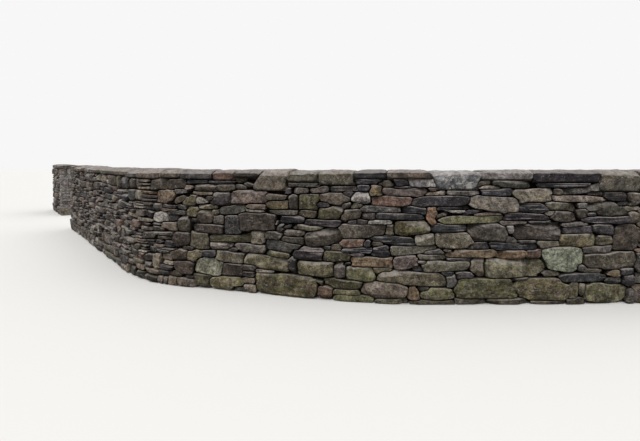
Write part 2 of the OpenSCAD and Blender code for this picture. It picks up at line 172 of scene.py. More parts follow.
# Stones of the near face, read along the wall: right end, left end, bottom, top, tone, lean in degrees
nearStones = [
    (1.64, 2.20, 1.285, 1.35, "slate", 0), (2.30, 2.70, 1.28, 1.37, "grey", 3),
    (1.53, 1.93, 1.21, 1.33, "grey", -6), (2.64, 2.83, 1.275, 1.315, "pale", 0),
    (3.22, 3.45, 1.21, 1.25, "pale", 0), (2.84, 3.215, 1.21, 1.255, "grey", 0),
    (2.52, 2.83, 1.205, 1.275, "slate", 0), (2.04, 2.46, 1.13, 1.29, "pale", -3),
    (1.945, 2.045, 1.19, 1.285, "tan", 10), (1.47, 2.07, 1.125, 1.215, "pale", 3),
    (1.22, 1.475, 1.15, 1.225, "purple", 3), (0.95, 1.21, 1.09, 1.235, "pink", 0),
    (2.96, 3.585, 1.08, 1.21, "darkGrey", 0), (2.965, 3.33, 1.05, 1.078, "slate", 0),
    (2.43, 2.96, 1.01, 1.215, "pale", 4, "rough"), (2.09, 2.39, 1.02, 1.12, "slate", 4),
    (1.78, 2.14, 1.03, 1.125, "greenGrey", 2), (1.67, 1.765, 1.06, 1.13, "white", -20),
    (1.22, 1.66, 0.97, 1.145, "brown", 4), (1.08, 1.225, 1.04, 1.085, "pale", -4),
    (2.975, 3.27, 1.022, 1.045, "white", 0, "block"), (3.326, 3.434, 0.87, 1.085, "brick", 4, "block"),
    (2.58, 3.28, 0.89, 0.99, "moss", -2), (2.60, 2.90, 0.985, 1.012, "tan", 0),
    (2.09, 2.575, 0.925, 1.0, "purple", 2), (2.035, 2.13, 0.985, 1.03, "pale", 0),
    (1.765, 2.06, 0.91, 1.04, "brown", 3), (1.665, 1.76, 0.96, 1.05, "darkBrown", 0),
    (1.19, 1.70, 0.895, 0.96, "purple", 0), (1.06, 1.18, 0.90, 1.03, "tan", 0),
    (2.34, 2.61, 0.885, 0.918, "pale", 0), (2.06, 2.30, 0.90, 0.93, "darkGrey", 0),
    (1.60, 1.98, 0.86, 0.91, "grey", -4), (2.985, 3.37, 0.81, 0.885, "slate", 0),
    (2.54, 2.98, 0.705, 0.885, "brown", 0), (2.465, 2.54, 0.80, 0.875, "white", 0),
    (1.93, 2.465, 0.715, 0.895, "darkBrown", 0), (1.61, 1.93, 0.785, 0.865, "darkGrey", -3),
    (1.35, 1.605, 0.775, 0.90, "darkGrey", 4), (1.06, 1.345, 0.60, 0.885, "brown", 0),
    (2.91, 3.33, 0.62, 0.805, "greenGrey", -5), (3.34, 3.54, 0.65, 0.77, "greenGrey", 0),
    (2.43, 2.55, 0.69, 0.74, "grey", 0), (2.20, 2.735, 0.605, 0.685, "slate", 2),
    (2.22, 2.40, 0.687, 0.715, "grey", 0), (1.95, 2.20, 0.64, 0.70, "greenGrey", 0),
    (1.56, 1.965, 0.645, 0.78, "lightOlive", 2), (1.365, 1.56, 0.64, 0.78, "darkOlive", -12),
    (1.39, 1.68, 0.565, 0.645, "grey", 0), (1.69, 2.14, 0.37, 0.64, "paleGreen", 0, "boulder"),
    (2.66, 3.20, 0.525, 0.605, "orange", -2), (2.31, 2.65, 0.51, 0.60, "orange", -4),
    (2.165, 2.31, 0.51, 0.60, "rust", 0), (3.24, 3.45, 0.56, 0.625, "grey", 0),
    (3.22, 3.52, 0.51, 0.555, "greenGrey", 0), (2.92, 3.20, 0.47, 0.52, "darkGrey", -3),
    (2.935, 3.48, 0.36, 0.50, "greenGrey", -3), (2.785, 2.925, 0.31, 0.50, "tan", 0, "block"),
    (2.095, 2.78, 0.30, 0.50, "lightOlive", -1, "block"), (1.06, 1.68, 0.40, 0.575, "brownGrey", 0),
    (1.655, 1.745, 0.37, 0.45, "grey", 25), (1.49, 1.665, 0.35, 0.40, "tan", 0),
    (1.27, 1.49, 0.29, 0.375, "orange", -8), (1.38, 1.93, 0.23, 0.36, "darkGrey", -5),
    (1.08, 1.265, 0.335, 0.40, "darkGrey", 0), (1.04, 1.25, 0.19, 0.33, "slate", -15),
    (2.45, 3.10, 0.07, 0.29, "darkOlive", 1, "block"), (1.85, 2.43, 0.045, 0.285, "olive", 0, "rough"),
    (2.29, 2.46, 0.25, 0.30, "brown", -10), (1.745, 1.84, 0.05, 0.255, "olive", 8),
    (1.66, 1.74, 0.10, 0.25, "brownGrey", -10), (1.18, 1.66, 0.02, 0.225, "lightOlive", 4, "rough"),
    (1.02, 1.17, 0.0, 0.17, "grey", 0), (3.10, 3.485, 0.045, 0.19, "olive", 0),
    (3.21, 3.95, 0.20, 0.375, "olive", 4), (3.10, 3.20, 0.20, 0.32, "grey", -10),
    (2.86, 3.08, 0.30, 0.355, "darkGrey", 0), (2.76, 3.10, 0.0, 0.065, "brown", 0),
    (2.28, 2.75, 0.0, 0.06, "brownGrey", 0), (1.68, 1.86, 0.0, 0.06, "darkBrown", 0),
    (1.88, 2.26, 0.0, 0.04, "brown", 0), (3.93, 4.22, 1.325, 1.38, "slate", 0),
    (4.04, 4.21, 1.25, 1.32, "slate", 0), (3.64, 3.83, 1.30, 1.385, "purple", 0),
    (3.31, 3.63, 1.295, 1.385, "lichen", 3, "rough"), (3.94, 4.07, 1.20, 1.32, "orange", 0),
    (3.41, 3.93, 1.195, 1.275, "pink", 0), (3.30, 3.41, 1.25, 1.29, "rust", 0),
    (4.065, 4.26, 1.11, 1.225, "white", 0), (3.61, 4.04, 1.10, 1.19, "rust", 0),
    (4.22, 4.52, 1.245, 1.285, "darkGrey", 0), (4.31, 4.66, 1.10, 1.215, "brownGrey", 0),
    (4.25, 4.36, 1.195, 1.24, "darkGrey", 0), (4.67, 4.90, 1.03, 1.205, "olive", 5),
    (4.67, 5.02, 1.29, 1.33, "grey", 0), (4.78, 4.99, 1.215, 1.27, "grey", 0),
    (5.0, 5.12, 1.21, 1.26, "darkGrey", 0), (4.57, 4.78, 1.225, 1.28, "grey", -5),
    (5.33, 5.775, 1.075, 1.235, "pink", 0), (5.08, 5.32, 1.13, 1.18, "brown", 0),
    (5.04, 5.325, 1.02, 1.12, "olive", -2), (4.92, 5.02, 1.04, 1.19, "darkBrown", 0),
    (5.33, 5.55, 1.01, 1.075, "pink", 0), (5.36, 5.56, 0.98, 1.01, "white", 0),
    (4.38, 4.68, 0.92, 1.07, "darkOlive", -6), (4.16, 4.40, 0.91, 1.055, "brown", -10),
    (4.26, 4.38, 1.07, 1.11, "grey", 0), (3.72, 4.18, 1.02, 1.075, "grey", 2),
    (3.48, 4.0, 0.945, 1.01, "darkGrey", 0), (3.44, 3.70, 1.01, 1.075, "slate", 0),
    (4.01, 4.15, 0.94, 1.0, "grey", 0), (3.83, 4.08, 0.885, 0.925, "white", 0),
    (4.09, 4.20, 0.88, 0.92, "darkBrown", 0), (3.385, 3.80, 0.77, 0.925, "moss", -3),
    (3.79, 3.885, 0.77, 0.88, "brownGrey", 8), (3.89, 4.39, 0.73, 0.885, "brownGrey", -3),
    (3.57, 4.04, 0.655, 0.77, "slate", 5), (4.14, 4.41, 0.62, 0.705, "rust", -3),
    (4.02, 4.13, 0.605, 0.715, "slate", 25), (4.04, 4.39, 0.555, 0.61, "slate", -4),
    (3.845, 4.02, 0.52, 0.64, "slate", 3), (3.30, 3.83, 0.56, 0.655, "greenGrey", -2),
    (3.515, 3.80, 0.39, 0.55, "pink", -10), (3.81, 4.28, 0.40, 0.515, "orange", -2),
    (3.82, 4.02, 0.35, 0.40, "olive", 0), (4.14, 4.40, 0.52, 0.55, "grey", 0),
    (4.28, 4.60, 0.46, 0.565, "darkOlive", -3), (4.61, 4.98, 0.45, 0.585, "purple", 0),
    (4.39, 4.84, 0.59, 0.83, "brown", -8), (4.41, 4.83, 0.845, 0.905, "purple", 0),
    (4.62, 5.0, 0.79, 0.845, "greenGrey", 0), (4.85, 5.18, 0.86, 0.95, "slate", -4),
    (5.20, 5.67, 0.765, 0.96, "darkBrown", 0), (5.14, 5.20, 0.79, 0.94, "white", 18),
    (4.92, 5.29, 0.965, 1.0, "grey", 0), (4.70, 4.90, 0.95, 1.01, "brownGrey", 0),
    (4.85, 5.10, 0.715, 0.785, "brown", 0), (5.10, 5.19, 0.76, 0.85, "darkGrey", 0),
    (5.35, 5.525, 0.585, 0.755, "pale", 5), (5.12, 5.345, 0.67, 0.75, "grey", 0),
    (4.85, 5.10, 0.635, 0.70, "darkBrown", 3), (4.88, 5.31, 0.515, 0.65, "darkGrey", 6),
    (5.53, 6.08, 0.60, 0.69, "darkOlive", -2), (5.34, 5.72, 0.49, 0.585, "grey", -2),
    (5.02, 5.32, 0.46, 0.51, "darkOlive", 3), (5.04, 5.61, 0.29, 0.47, "lightOlive", 3),
    (4.93, 5.035, 0.27, 0.47, "darkGrey", -8), (4.49, 4.93, 0.25, 0.42, "lightOlive", 0),
    (4.325, 4.48, 0.24, 0.44, "brown", -8), (4.01, 4.33, 0.235, 0.40, "moss", 0),
    (5.62, 6.0, 0.345, 0.48, "greenGrey", 2), (5.45, 5.62, 0.27, 0.36, "darkBrown", 0),
    (5.47, 5.62, 0.20, 0.26, "purple", 0), (4.665, 5.44, 0.03, 0.265, "olive", 0, "rough"),
    (5.16, 5.44, 0.25, 0.29, "pale", 2), (4.60, 4.74, 0.18, 0.24, "brownGrey", 20),
    (4.14, 4.59, 0.145, 0.255, "darkOlive", -2), (4.17, 4.48, 0.085, 0.135, "olive", 0),
    (3.635, 4.15, 0.06, 0.245, "tan", 0, "lens"), (3.505, 3.63, 0.04, 0.20, "orange", 0),
    (4.485, 4.65, 0.0, 0.165, "rust", 0), (4.02, 4.47, 0.0, 0.075, "moss", 0),
    (3.64, 3.98, 0.0, 0.05, "brown", 0), (3.12, 3.60, 0.0, 0.04, "brown", 0),
    (5.44, 5.62, 0.12, 0.19, "tan", 0), (5.45, 5.60, 0.0, 0.11, "pale", 0),
    (5.73, 5.98, 1.215, 1.295, "brown", 0), (6.0, 6.31, 1.21, 1.295, "brownGrey", 0),
    (5.80, 6.04, 1.05, 1.20, "darkGrey", 0), (6.06, 6.35, 1.17, 1.205, "tan", 0),
    (6.26, 6.45, 1.05, 1.17, "olive", 0), (6.12, 6.265, 1.05, 1.145, "white", -8),
    (5.98, 6.24, 1.0, 1.04, "olive", 0), (5.61, 5.93, 0.935, 1.07, "grey", -10),
    (5.67, 5.88, 0.70, 0.91, "darkGrey", 0), (6.04, 6.25, 0.82, 0.97, "brown", 0),
    (5.88, 6.03, 0.82, 0.91, "grey", 0), (6.25, 6.42, 0.90, 1.0, "olive", 0),
    (5.89, 6.32, 0.705, 0.80, "darkBrown", 0), (6.38, 6.56, 0.70, 0.89, "brown", 0),
    (6.56, 6.84, 0.705, 0.80, "pink", 0), (6.11, 6.37, 0.50, 0.695, "brownGrey", 0),
    (6.37, 6.66, 0.51, 0.69, "darkBrown", 0), (5.79, 6.06, 0.505, 0.59, "white", -3),
    (6.20, 6.40, 0.32, 0.48, "olive", 0), (6.0, 6.19, 0.41, 0.48, "darkGrey", 0),
    (5.91, 6.29, 0.18, 0.395, "paleGreen", 5), (5.63, 5.90, 0.20, 0.335, "darkBrown", 0),
    (6.42, 6.67, 0.34, 0.47, "brown", 0), (6.33, 6.57, 0.17, 0.32, "darkBrown", 0),
    (5.62, 6.08, 0.03, 0.165, "lightOlive", 0), (6.09, 6.31, 0.04, 0.165, "brownGrey", 0),
    (5.33, 5.62, 1.255, 1.33, "darkBrown", 0), (5.72, 6.10, 1.305, 1.345, "slate", 0),
    (6.12, 6.42, 1.305, 1.34, "darkGrey", 0), (5.55, 5.71, 1.25, 1.30, "grey", 0),
    (3.62, 3.80, 1.28, 1.30, "slate", 0), (5.96, 6.06, 0.93, 0.99, "brownGrey", 0),
]

# Capstones from the right end: right end, left end, underside, top, tone, wear of ends and of upper edges
nearCaps = [
    (0.0, 0.56, 1.355, 1.47, "brownGrey", 0.2, 0.6), (0.56, 1.06, 1.355, 1.475, "pink", 0.1, 0.8),
    (1.07, 1.52, 1.245, 1.47, "greenGrey", 0.8, 0.6), (1.535, 2.24, 1.345, 1.47, "purple", 0.9, 0.35),
    (2.26, 2.85, 1.375, 1.475, "lichen", 0.4, 0.8), (2.86, 3.34, 1.265, 1.468, "blotched", 1.0, 0.75),
    (3.355, 3.85, 1.39, 1.475, "pink", 0.2, 0.95), (3.86, 4.235, 1.385, 1.47, "slate", 0.3, 0.5),
    (4.25, 4.67, 1.31, 1.468, "greenGrey", 0.9, 0.6), (4.68, 5.05, 1.34, 1.465, "greenGrey", 0.7, 0.7),
    (5.06, 5.45, 1.23, 1.475, "tan", 0.3, 0.7), (5.465, 5.74, 1.39, 1.468, "darkBrown", 0.2, 0.7),
    (5.755, 6.03, 1.35, 1.462, "rust", 0.5, 0.9), (6.05, 6.48, 1.355, 1.465, "darkGrey", 0.5, 0.9),
]
# Joints whose lean was read: where they stand and the slope
leaningJoints = {2.86: -0.42, 3.355: 0.36, 5.06: -0.2, 5.465: -0.5}

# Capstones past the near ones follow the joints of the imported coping
farJoints = [6.49, 6.87, 7.43, 7.875, 8.341, 8.887, 9.328, 9.786, 10.196, 10.702, 11.103, 11.529, 11.911,
             12.352, 12.712, 13.125, runEnd]
outerJoints = [outerStart, 17.396, 17.777, 18.287, 18.617, wallEnd]

faceStones = {
    "joint": {0: 0.010, 4.5: 0.014, 7: 0.020, 16: 0.012},          # open joint by distance along the wall
    "backJoint": 0.014,      # widest joint at the back
    "grow": 0.022,           # how far a stone may spread past the rectangle it was read as
    "lean": 1.3,             # degrees that a stone is off the lean it was read with
    "taper": 0.08,
    "deep": (0.12, 0.16),    # how far a stone runs into the wall
    "proud": 0.015,          # how far one face stands out from or behind its neighbours
    "tilt": 0.065,           # slope of a face as a whole
    "footProud": 0.018,      # how far the foundation stones stand out from the face
    "footBack": 0.012,       # and from the back
    "arris": (0.003, 0.013), # rounding at the edge of a face
    "detailTo": 7.0,         # distance along the wall up to which the front has its full detail
    "small": 0.13,           # below this sum of half length and half height, a stone there gets fewer points
    "points": {"large": 54, "small": 34, "far": 22, "back": 20},   # round the outline
    "rings": {"large": 6, "small": 3, "far": 3, "back": 2},        # across the face, up to its rounded edge
    "wild": {"far": 1.7, "back": 1.5},       # how much more those faces tilt and stand out
    "tints": {"far": (0.94, 0.36), "back": (1, 0.18)},             # level and spread of their shades
    "nicks": (26, 0.35, 0.010, 0.0025),   # chips in an outline: to the metre, rarity, depth, raggedness
    "smooth": 0.12,          # how much an outline is smoothed
    "arrisShare": (0.12, 0.42),    # rounding of the edge as a share of a stone's smaller half size
    "arrisPower": (1.9, 3.4),      # its shape: 2 is a circle's, and more is squarer
    "flat": (0.45, (0.08, 0.4), (0.7, 1.3)),   # share with flat faces, how steeply they fall, and the rest
    "lookUp": 0.04,          # slope by which the faces lean back
    "bumps": (0.010, 0.0055, 0.007),   # heights: coarse bumps, fine bumps, layers
    "mossUp": (0.35, 0.5),   # how high the moss of the foot reaches, and how much of it there is
    "minimumPin": 0.024,     # smallest gap that gets a pinning stone
    "pinBack": 0.022,        # how far pinning stones sit behind the face
    "pinSize": ((1.4, 3.4), (0.6, 0.95)),    # their length and height by the width of the gap
    "pinLean": 8,            # degrees
    "pinTones": ["darkGrey", "brown", "darkBrown", "darkGrey", "slate", "brownGrey"],
    "dull": (4.3, 7.6, (0.08, 0.11, 0.16)),   # painted shade: from here to here the front is darker and warmer, by channel
}


# Corner cuts of each form: what share of the end's height a cut takes, how much of the length, in heights,
# and how far the corners are rounded
stoneForms = {
    "block": ((0.05, 0.35), (0.05, 0.45), (0.02, 0.10)),
    "boulder": ((0.35, 0.75), (0.4, 1.1), (0.25, 0.5)),
    "lens": ((0.5, 0.95), (0.8, 2.6), (0.03, 0.14)),
    "rough": ((0.1, 0.75), (0.2, 1.6), (0.02, 0.14)),
}
# Odds of each form, for layered stones and for the others
formOdds = {True: (0.36, 0.0, 0.30, 0.34), False: (0.38, 0.07, 0.15, 0.40)}


# Stones as arrays: a leaning, tapered rectangle with rounded corners, each corner cut by a straight line.
def stoneCells(rows, seed, pinned=False):
    rng = np.random.default_rng(seed)
    r = np.array([row[:4] for row in rows], float)
    n = len(r)
    wide, tall = (r[:, 1] - r[:, 0]) / 2, (r[:, 3] - r[:, 2]) / 2
    lean = np.radians(np.array([row[5] for row in rows], float) + rng.normal(0, faceStones["lean"], n))
    # Half sizes that make the leaning rectangle just fill the upright one, within limits
    c, s = np.cos(lean), np.abs(np.sin(lean))
    a = np.maximum((wide * c - tall * s) / (c * c - s * s), wide * 0.6)
    b = np.maximum((tall * c - wide * s) / (c * c - s * s), tall * 0.55)
    small = np.minimum(a, b)
    names = list(stoneForms)
    odds = [formOdds[stoneTones[row[4]][3] > 0.5] for row in rows]
    form = [row[6] if len(row) > 6 else names[rng.choice(4, p=p)] for row, p in zip(rows, odds)]
    limits = np.array([stoneForms[f] for f in form])[..., None]
    blend = lambda k: limits[:, k, 0] + (limits[:, k, 1] - limits[:, k, 0]) * rng.random((n, 4))
    # A cut's line runs from long along the edge to high up the end, and its normal is (high, long)
    high = blend(0) * b[:, None]
    long = np.minimum(blend(1) * small[:, None], a[:, None] * 0.95)
    nx, nz = high / np.hypot(high, long), long / np.hypot(high, long)
    cut = nx * a[:, None] + nz * (b[:, None] - high)
    side = np.array([[1, -1, -1, 1], [1, 1, -1, -1]])
    return {
        "cs": (r[:, 0] + r[:, 1]) / 2, "cz": (r[:, 2] + r[:, 3]) / 2, "a": a, "b": b, "lean": lean,
        "round": small * blend(2)[:, 0], "taper": rng.normal(0, faceStones["taper"], n),
        "nx": nx * side[0], "nz": nz * side[1], "cut": cut,
        "tone": np.array([toneNames.index(row[4]) for row in rows], int),
        "limit": np.zeros(n), "seed": rng.integers(0, 1 << 20, n), "pin": np.full(n, float(pinned)),
    }


# Plain rectangles that the face stones stop at: capstones, corner stones and the ground.
def boxCells(rows):
    r = np.array(rows, float).reshape(-1, 4)
    n = len(r)
    return {
        "cs": (r[:, 0] + r[:, 1]) / 2, "cz": (r[:, 2] + r[:, 3]) / 2, "a": (r[:, 1] - r[:, 0]) / 2,
        "b": (r[:, 3] - r[:, 2]) / 2, "lean": np.zeros(n), "round": np.full(n, 0.004), "taper": np.zeros(n),
        "nx": np.ones((n, 4)), "nz": np.zeros((n, 4)), "cut": np.full((n, 4), 99.0), "tone": np.zeros(n, int),
        "limit": np.full(n, 1.0), "seed": np.zeros(n, int), "pin": np.zeros(n),
    }


def joined(*groups):
    return {k: np.concatenate([g[k] for g in groups]) for k in groups[0]}


def picked(cells, which):
    return {k: v[which] for k, v in cells.items()}


# Distance outside a stone: rounded rectangle in its own leaning axes, or past a cut corner if that is more.
def cellDistance(s, z, c):
    x, y = s - c["cs"], z - c["cz"]
    cosine, sine = np.cos(c["lean"]), np.sin(c["lean"])
    u, v = x * cosine + y * sine, y * cosine - x * sine
    qx = np.abs(u) - c["a"] * (1 + c["taper"] * v / c["b"]) + c["round"]
    qz = np.abs(v) - c["b"] + c["round"]
    past = (np.maximum(qx, 0) ** 5 + np.maximum(qz, 0) ** 5) ** 0.2             # keeps corners as it spreads
    d = past + np.minimum(np.maximum(qx, qz), 0) - c["round"]
    for k in range(4):
        d = np.maximum(d, u * c["nx"][..., k] + v * c["nz"][..., k] - c["cut"][..., k])
    return d


# Small stones for the wide gaps: the emptiest point of a fine grid, over and over, each filling its own gap.
def pinningStones(cells, walls, s0, s1, seed):
    rng = np.random.default_rng(seed)
    top, step, most = wallPlan["bed"] + 0.026, 0.014, 600
    grid = np.meshgrid(np.arange(s0 + 0.02, s1 - 0.02, step), np.arange(0.02, top, step))
    points = np.stack([g.ravel() for g in grid], 1)
    room = np.full(len(points), 9.0)
    for group, spare in ((cells, faceStones["grow"] * 0.5), (walls, 0.004)):
        for i in range(len(group["cs"])):
            near = np.abs(points[:, 0] - group["cs"][i]) < group["a"][i] + 0.2
            distance = cellDistance(points[near, 0], points[near, 1], picked(group, i))
            room[near] = np.minimum(room[near], distance - spare)
    rows, tones = [], faceStones["pinTones"]
    for _ in range(most):
        i = int(np.argmax(room))
        r = room[i]
        if r < faceStones["minimumPin"]:
            break
        s, z = points[i]
        across, up = [r * rng.uniform(*span) for span in faceStones["pinSize"]]
        tone = tones[rng.integers(len(tones))]
        rows.append((s - across, s + across, z - up, z + up, tone, rng.normal(0, faceStones["pinLean"])))
        away = np.maximum(np.abs(points[:, 0] - s) - across, np.abs(points[:, 1] - z) - up)
        room = np.minimum(room, away - 0.006)
    return rows


# Outline of each stone in (s, z): along rays from its middle, out to where a neighbour is nearer or it has
# spread as far as it may, less half a joint. Then it is smoothed a little and chipped.
def growOutlines(cells, others, count, joint):
    neighbours, steps, batch, inner = 15, 44, 40, 0.3                           # searched from that share out
    smooth, (often, rare, nick, ragged) = faceStones["smooth"], faceStones["nicks"]
    everyone = joined(cells, others)
    n = len(cells["cs"])
    gapS = np.abs(cells["cs"][:, None] - everyone["cs"]) - cells["a"][:, None] - everyone["a"]
    gapZ = np.abs(cells["cz"][:, None] - everyone["cz"]) - cells["b"][:, None] - everyone["b"]
    shared = np.hypot(np.minimum(gapS, 0), np.minimum(gapZ, 0))
    gap = np.maximum(gapS, 0) + np.maximum(gapZ, 0) + 0.01 * shared
    gap[np.arange(n), np.arange(n)] = 99
    nearest = np.argsort(gap, 1)[:, :neighbours]
    turn = np.linspace(0, 2 * np.pi, count, endpoint=False)
    rimX, rimY = [np.sign(w) * np.abs(w) ** 0.55 for w in (np.cos(turn), np.sin(turn))]
    forRays = lambda group: {k: w.reshape(len(w), 1, 1, *w.shape[1:]) for k, w in group.items()}
    outlines = np.zeros((n, count, 2))
    for start in range(0, n, batch):
        part = slice(start, min(start + batch, n))
        c = picked(cells, part)
        u, v = rimX * c["a"][:, None], rimY * c["b"][:, None]
        cosine, sine = np.cos(c["lean"])[:, None], np.sin(c["lean"])[:, None]
        qs, qz = u * cosine - v * sine, v * cosine + u * sine
        far = 1 + (faceStones["grow"] + 0.012) / np.minimum(c["a"], c["b"])
        t = inner + (far[:, None] - inner) * np.linspace(0, 1, steps)           # stones, steps
        s = c["cs"][:, None, None] + qs[:, :, None] * t[:, None, :]
        z = c["cz"][:, None, None] + qz[:, :, None] * t[:, None, :]             # stones, rays, steps
        own = cellDistance(s, z, forRays(c))
        beside = forRays(picked(everyone, nearest[part]))
        rival = cellDistance(s[..., None], z[..., None], beside)
        firm = beside["limit"] > 0.5                                             # a box doesn't give way
        rival = np.where(firm, 2 * rival + own[..., None], rival).min(-1)
        out = own - np.minimum(rival - joint[part][:, None, None], faceStones["grow"])
        out[..., -1] = 1.0
        first = np.argmax(out > 0, -1)
        before = np.maximum(first - 1, 0)
        at = lambda values, i: np.take_along_axis(values, i[..., None], -1)[..., 0]
        o0, o1 = at(out, before), at(out, first)
        w = np.where(first > 0, np.clip(-o0 / np.maximum(o1 - o0, 1e-9), 0, 1), 1)
        reach = at(np.broadcast_to(t[:, None, :], out.shape), before)
        reach = reach + w * np.where(first > 0, (t[:, 1] - t[:, 0])[:, None], 0)
        reach = (1 - smooth) * reach + smooth / 2 * (np.roll(reach, 1, 1) + np.roll(reach, -1, 1))
        rim = np.stack([qs * reach * often + c["seed"][:, None] % 97, qz * reach * often, 0 * qs], -1)
        worn = nick * np.clip(latticeNoise(rim, 6) - rare, 0, 1)
        worn = worn + ragged * np.abs(latticeNoise(rim * 2.1, 5))
        reach = reach * (1 - np.minimum(worn / np.hypot(qs, qz), 0.2))
        outlines[part, :, 0] = c["cs"][:, None] + qs * reach
        outlines[part, :, 1] = c["cz"][:, None] + qz * reach
    return outlines


# Rings of each face stone from the middle of its face to its back: their share of the outline and how far
# they lie behind the face. The edge drops away as a quarter of a superellipse.
def faceRings(rng, label, small, half):
    n = len(small)
    arris = np.clip(small * rng.uniform(*faceStones["arrisShare"], n), *faceStones["arris"])
    power = rng.uniform(*faceStones["arrisPower"], n)
    wide = arris[:, None] * 1.35 / np.maximum(half, arris[:, None] * 2.4)
    # Shares of the width of the arris, from inside out
    edges = [1.0, 0.6, 0.33, 0.13, 0.0] if label in ("large", "small") else [1.0, 0.35, 0.0]
    inner = np.linspace(0, 1, faceStones["rings"][label] + 1)[1:] ** 0.85 * 0.93
    rings = [(scale * (1 - wide), np.zeros(n)) for scale in inner]
    rings += [(1 - u * wide, arris * (1 - np.sqrt(np.maximum(1 - (1 - u) ** power, 0)))) for u in edges]
    deep = arris + rng.uniform(*faceStones["deep"], n)
    rings += [(1 - 0.003 / np.maximum(half, 0.02), arris + 0.03), (1 - 0.013 / np.maximum(half, 0.02), deep)]
    scale, drop = [np.stack([r[k] for r in rings], 1) for k in (0, 1)]
    return scale, drop, deep


# How far a face stands out at its points x, y from its middle: it stands proud or back as a whole, tilts,
# breaks along straight lines, is split in thin layers on slates, and carries smooth noise.
def faceRelief(rng, cells, label, x, y, fall, half, seed):
    n = len(x)
    near = label in ("large", "small")
    wild = np.where(cells["cz"] < wallPlan["blockTop"], 0.8, faceStones["wild"].get(label, 1.0))
    tilt = rng.normal(0, faceStones["tilt"], (n, 2)) * wild[:, None]
    often, low, high = faceStones["flat"]
    domed = np.where(rng.random(n) < often, rng.uniform(*low, n), rng.uniform(*high, n))
    proud = faceStones["proud"] * wild * (1.3 if label == "far" else 1)
    relief = (rng.uniform(-1, 1, n) * proud - cells["pin"] * faceStones["pinBack"])[:, None]
    relief = relief + tilt[:, :1] * x + (tilt[:, 1:] - faceStones["lookUp"]) * y
    # The upper fall, the lower fall and five that turn any way: direction, spread, start, steepness
    folds = [(90, 22, 0.1, 0.75, 0.2, 0.95), (-90, 22, 0.2, 0.85, 0.2, 0.9)]
    folds += [(0, 180, 0.15, 0.9, 0.05, 0.6)] * 5
    for turn, spread, t0, t1, g0, g1 in folds:
        a = np.radians(turn + rng.uniform(-spread, spread, n))
        nx, nz = np.cos(a)[:, None], np.sin(a)[:, None]
        reach = (np.abs(nx) * half[:, :1] + np.abs(nz) * half[:, 1:])
        past = x * nx + y * nz - reach * rng.uniform(t0, t1, n)[:, None]
        relief = relief - np.maximum(past, 0) * (rng.uniform(g0, g1, n) * domed)[:, None]
    grain = np.stack([x, np.broadcast_to(fall, x.shape), y], -1) + rng.uniform(0, 40, (n, 1, 3))
    coarse = roughness(grain * (11 if near else 15), seed, 3 if near else 2)
    fine = roughness(grain * np.array([34, 34, 50]), seed + 9, 2) if near else 0
    layers = latticeNoise(grain * np.array([5, 5, 75]), seed + 17) if near else 0
    size = np.clip(np.minimum(cells["a"], cells["b"]) / 0.1, 0.3, 1.4)[:, None]
    big, little, layer = faceStones["bumps"]
    relief = relief + size * (big * coarse + little * fine)
    relief = relief + toneKind[cells["tone"], 2][:, None] * layer * layers
    return np.clip(relief, -0.07, 0.022), grain


# One tint for each stone, and for each point its shares of lichen, moss and layers, with how deep in the
# joint it lies as a fourth, which the material turns into painted shade. There is more moss towards the
# ground.
def faceTints(rng, cells, side, label, z, fall):
    n = len(z)
    level, spread = faceStones["tints"].get(label, (1, 0.13))
    tint = toneColour[cells["tone"]] * rng.normal(level, spread, (n, 1)).clip(0.42)
    # Painted shade: the front stones on this stretch are made darker and warmer
    begin, end, dull = faceStones["dull"]
    inShade = (cells["cs"] > begin) & (cells["cs"] < end) & (side == "front")
    tint = tint * (1 - np.array(dull) * inShade[:, None])
    tint = tint * (1 + rng.normal(0, 0.025, (n, 3)))
    kind = np.clip(toneKind[cells["tone"]] * rng.uniform(0.6, 1.25, (n, 3)), 0, 1)
    kinds = np.concatenate([np.broadcast_to(kind[:, None], (*z.shape, 3)),
                            np.clip((fall - 0.012) / 0.05, 0, 1)[..., None]], -1).copy()
    high, more = faceStones["mossUp"]
    kinds[..., 1] = np.clip(kinds[..., 1] + np.clip(1 - z / high, 0, 1) * more, 0, 1)
    return tint, kinds


# Closed stones from their outlines: a pole in the middle of the face, rings out to its rim and back into the
# wall, and a pole behind. Relief fades out behind the rim.
def shapeStones(cells, outlines, side, label, seed):
    rng = np.random.default_rng(seed)
    n, count = outlines.shape[:2]
    middle = outlines.mean(1)
    rel = outlines - middle[:, None]
    half = np.abs(rel).max(1) * 0.98 + 1e-4
    scale, drop, deep = faceRings(rng, label, np.minimum(cells["a"], cells["b"]), half)
    flat = (middle[:, None, None] + rel[:, None] * scale[:, :, None]).reshape(n, -1, 2)
    s, z = np.moveaxis(np.concatenate([middle[:, None], flat, middle[:, None]], 1), 2, 0)
    fall = np.concatenate([np.zeros((n, 1)), np.repeat(drop, count, 1), deep[:, None]], 1)
    relief, grain = faceRelief(rng, cells, label, s - middle[:, :1], z - middle[:, 1:], fall, half, seed)
    out = relief * np.clip(1 - fall / 0.06, 0, 1) - fall
    low = cells["cz"][:, None] < wallPlan["blockTop"]
    if side == "front":
        d = frontAt(np.where(low, wallPlan["blockTop"], z)) - faceStones["footProud"] * low - out
    else:
        d = backAt(np.where(low, 0, z)) + faceStones["footBack"] * low + out
    z = np.clip(z, 0, None)
    point = wallPoint(s, d, z)
    tint, kinds = faceTints(rng, cells, side, label, z, fall)
    return point, np.broadcast_to(tint[:, None], point.shape), grain, kinds


# Quads between neighbouring rings of points, and a fan of triangles at the pole at each end.
def ringFaces(rings, count):
    k = np.arange(count)
    after = (k + 1) % count
    first = 1 + np.arange(rings - 1)[:, None] * count
    quads = np.stack([first + k, first + count + k, first + count + after, first + after], -1).reshape(-1, 4)
    last = 1 + (rings - 1) * count
    tris = np.concatenate([np.stack([np.zeros(count, int), k + 1, after + 1], -1),
                           np.stack([last + after, last + k, np.full(count, last + count)], -1)])
    return quads, tris


def linked(name, data):
    thing = bpy.data.objects.new(name, data)
    bpy.context.collection.objects.link(thing)
    return thing


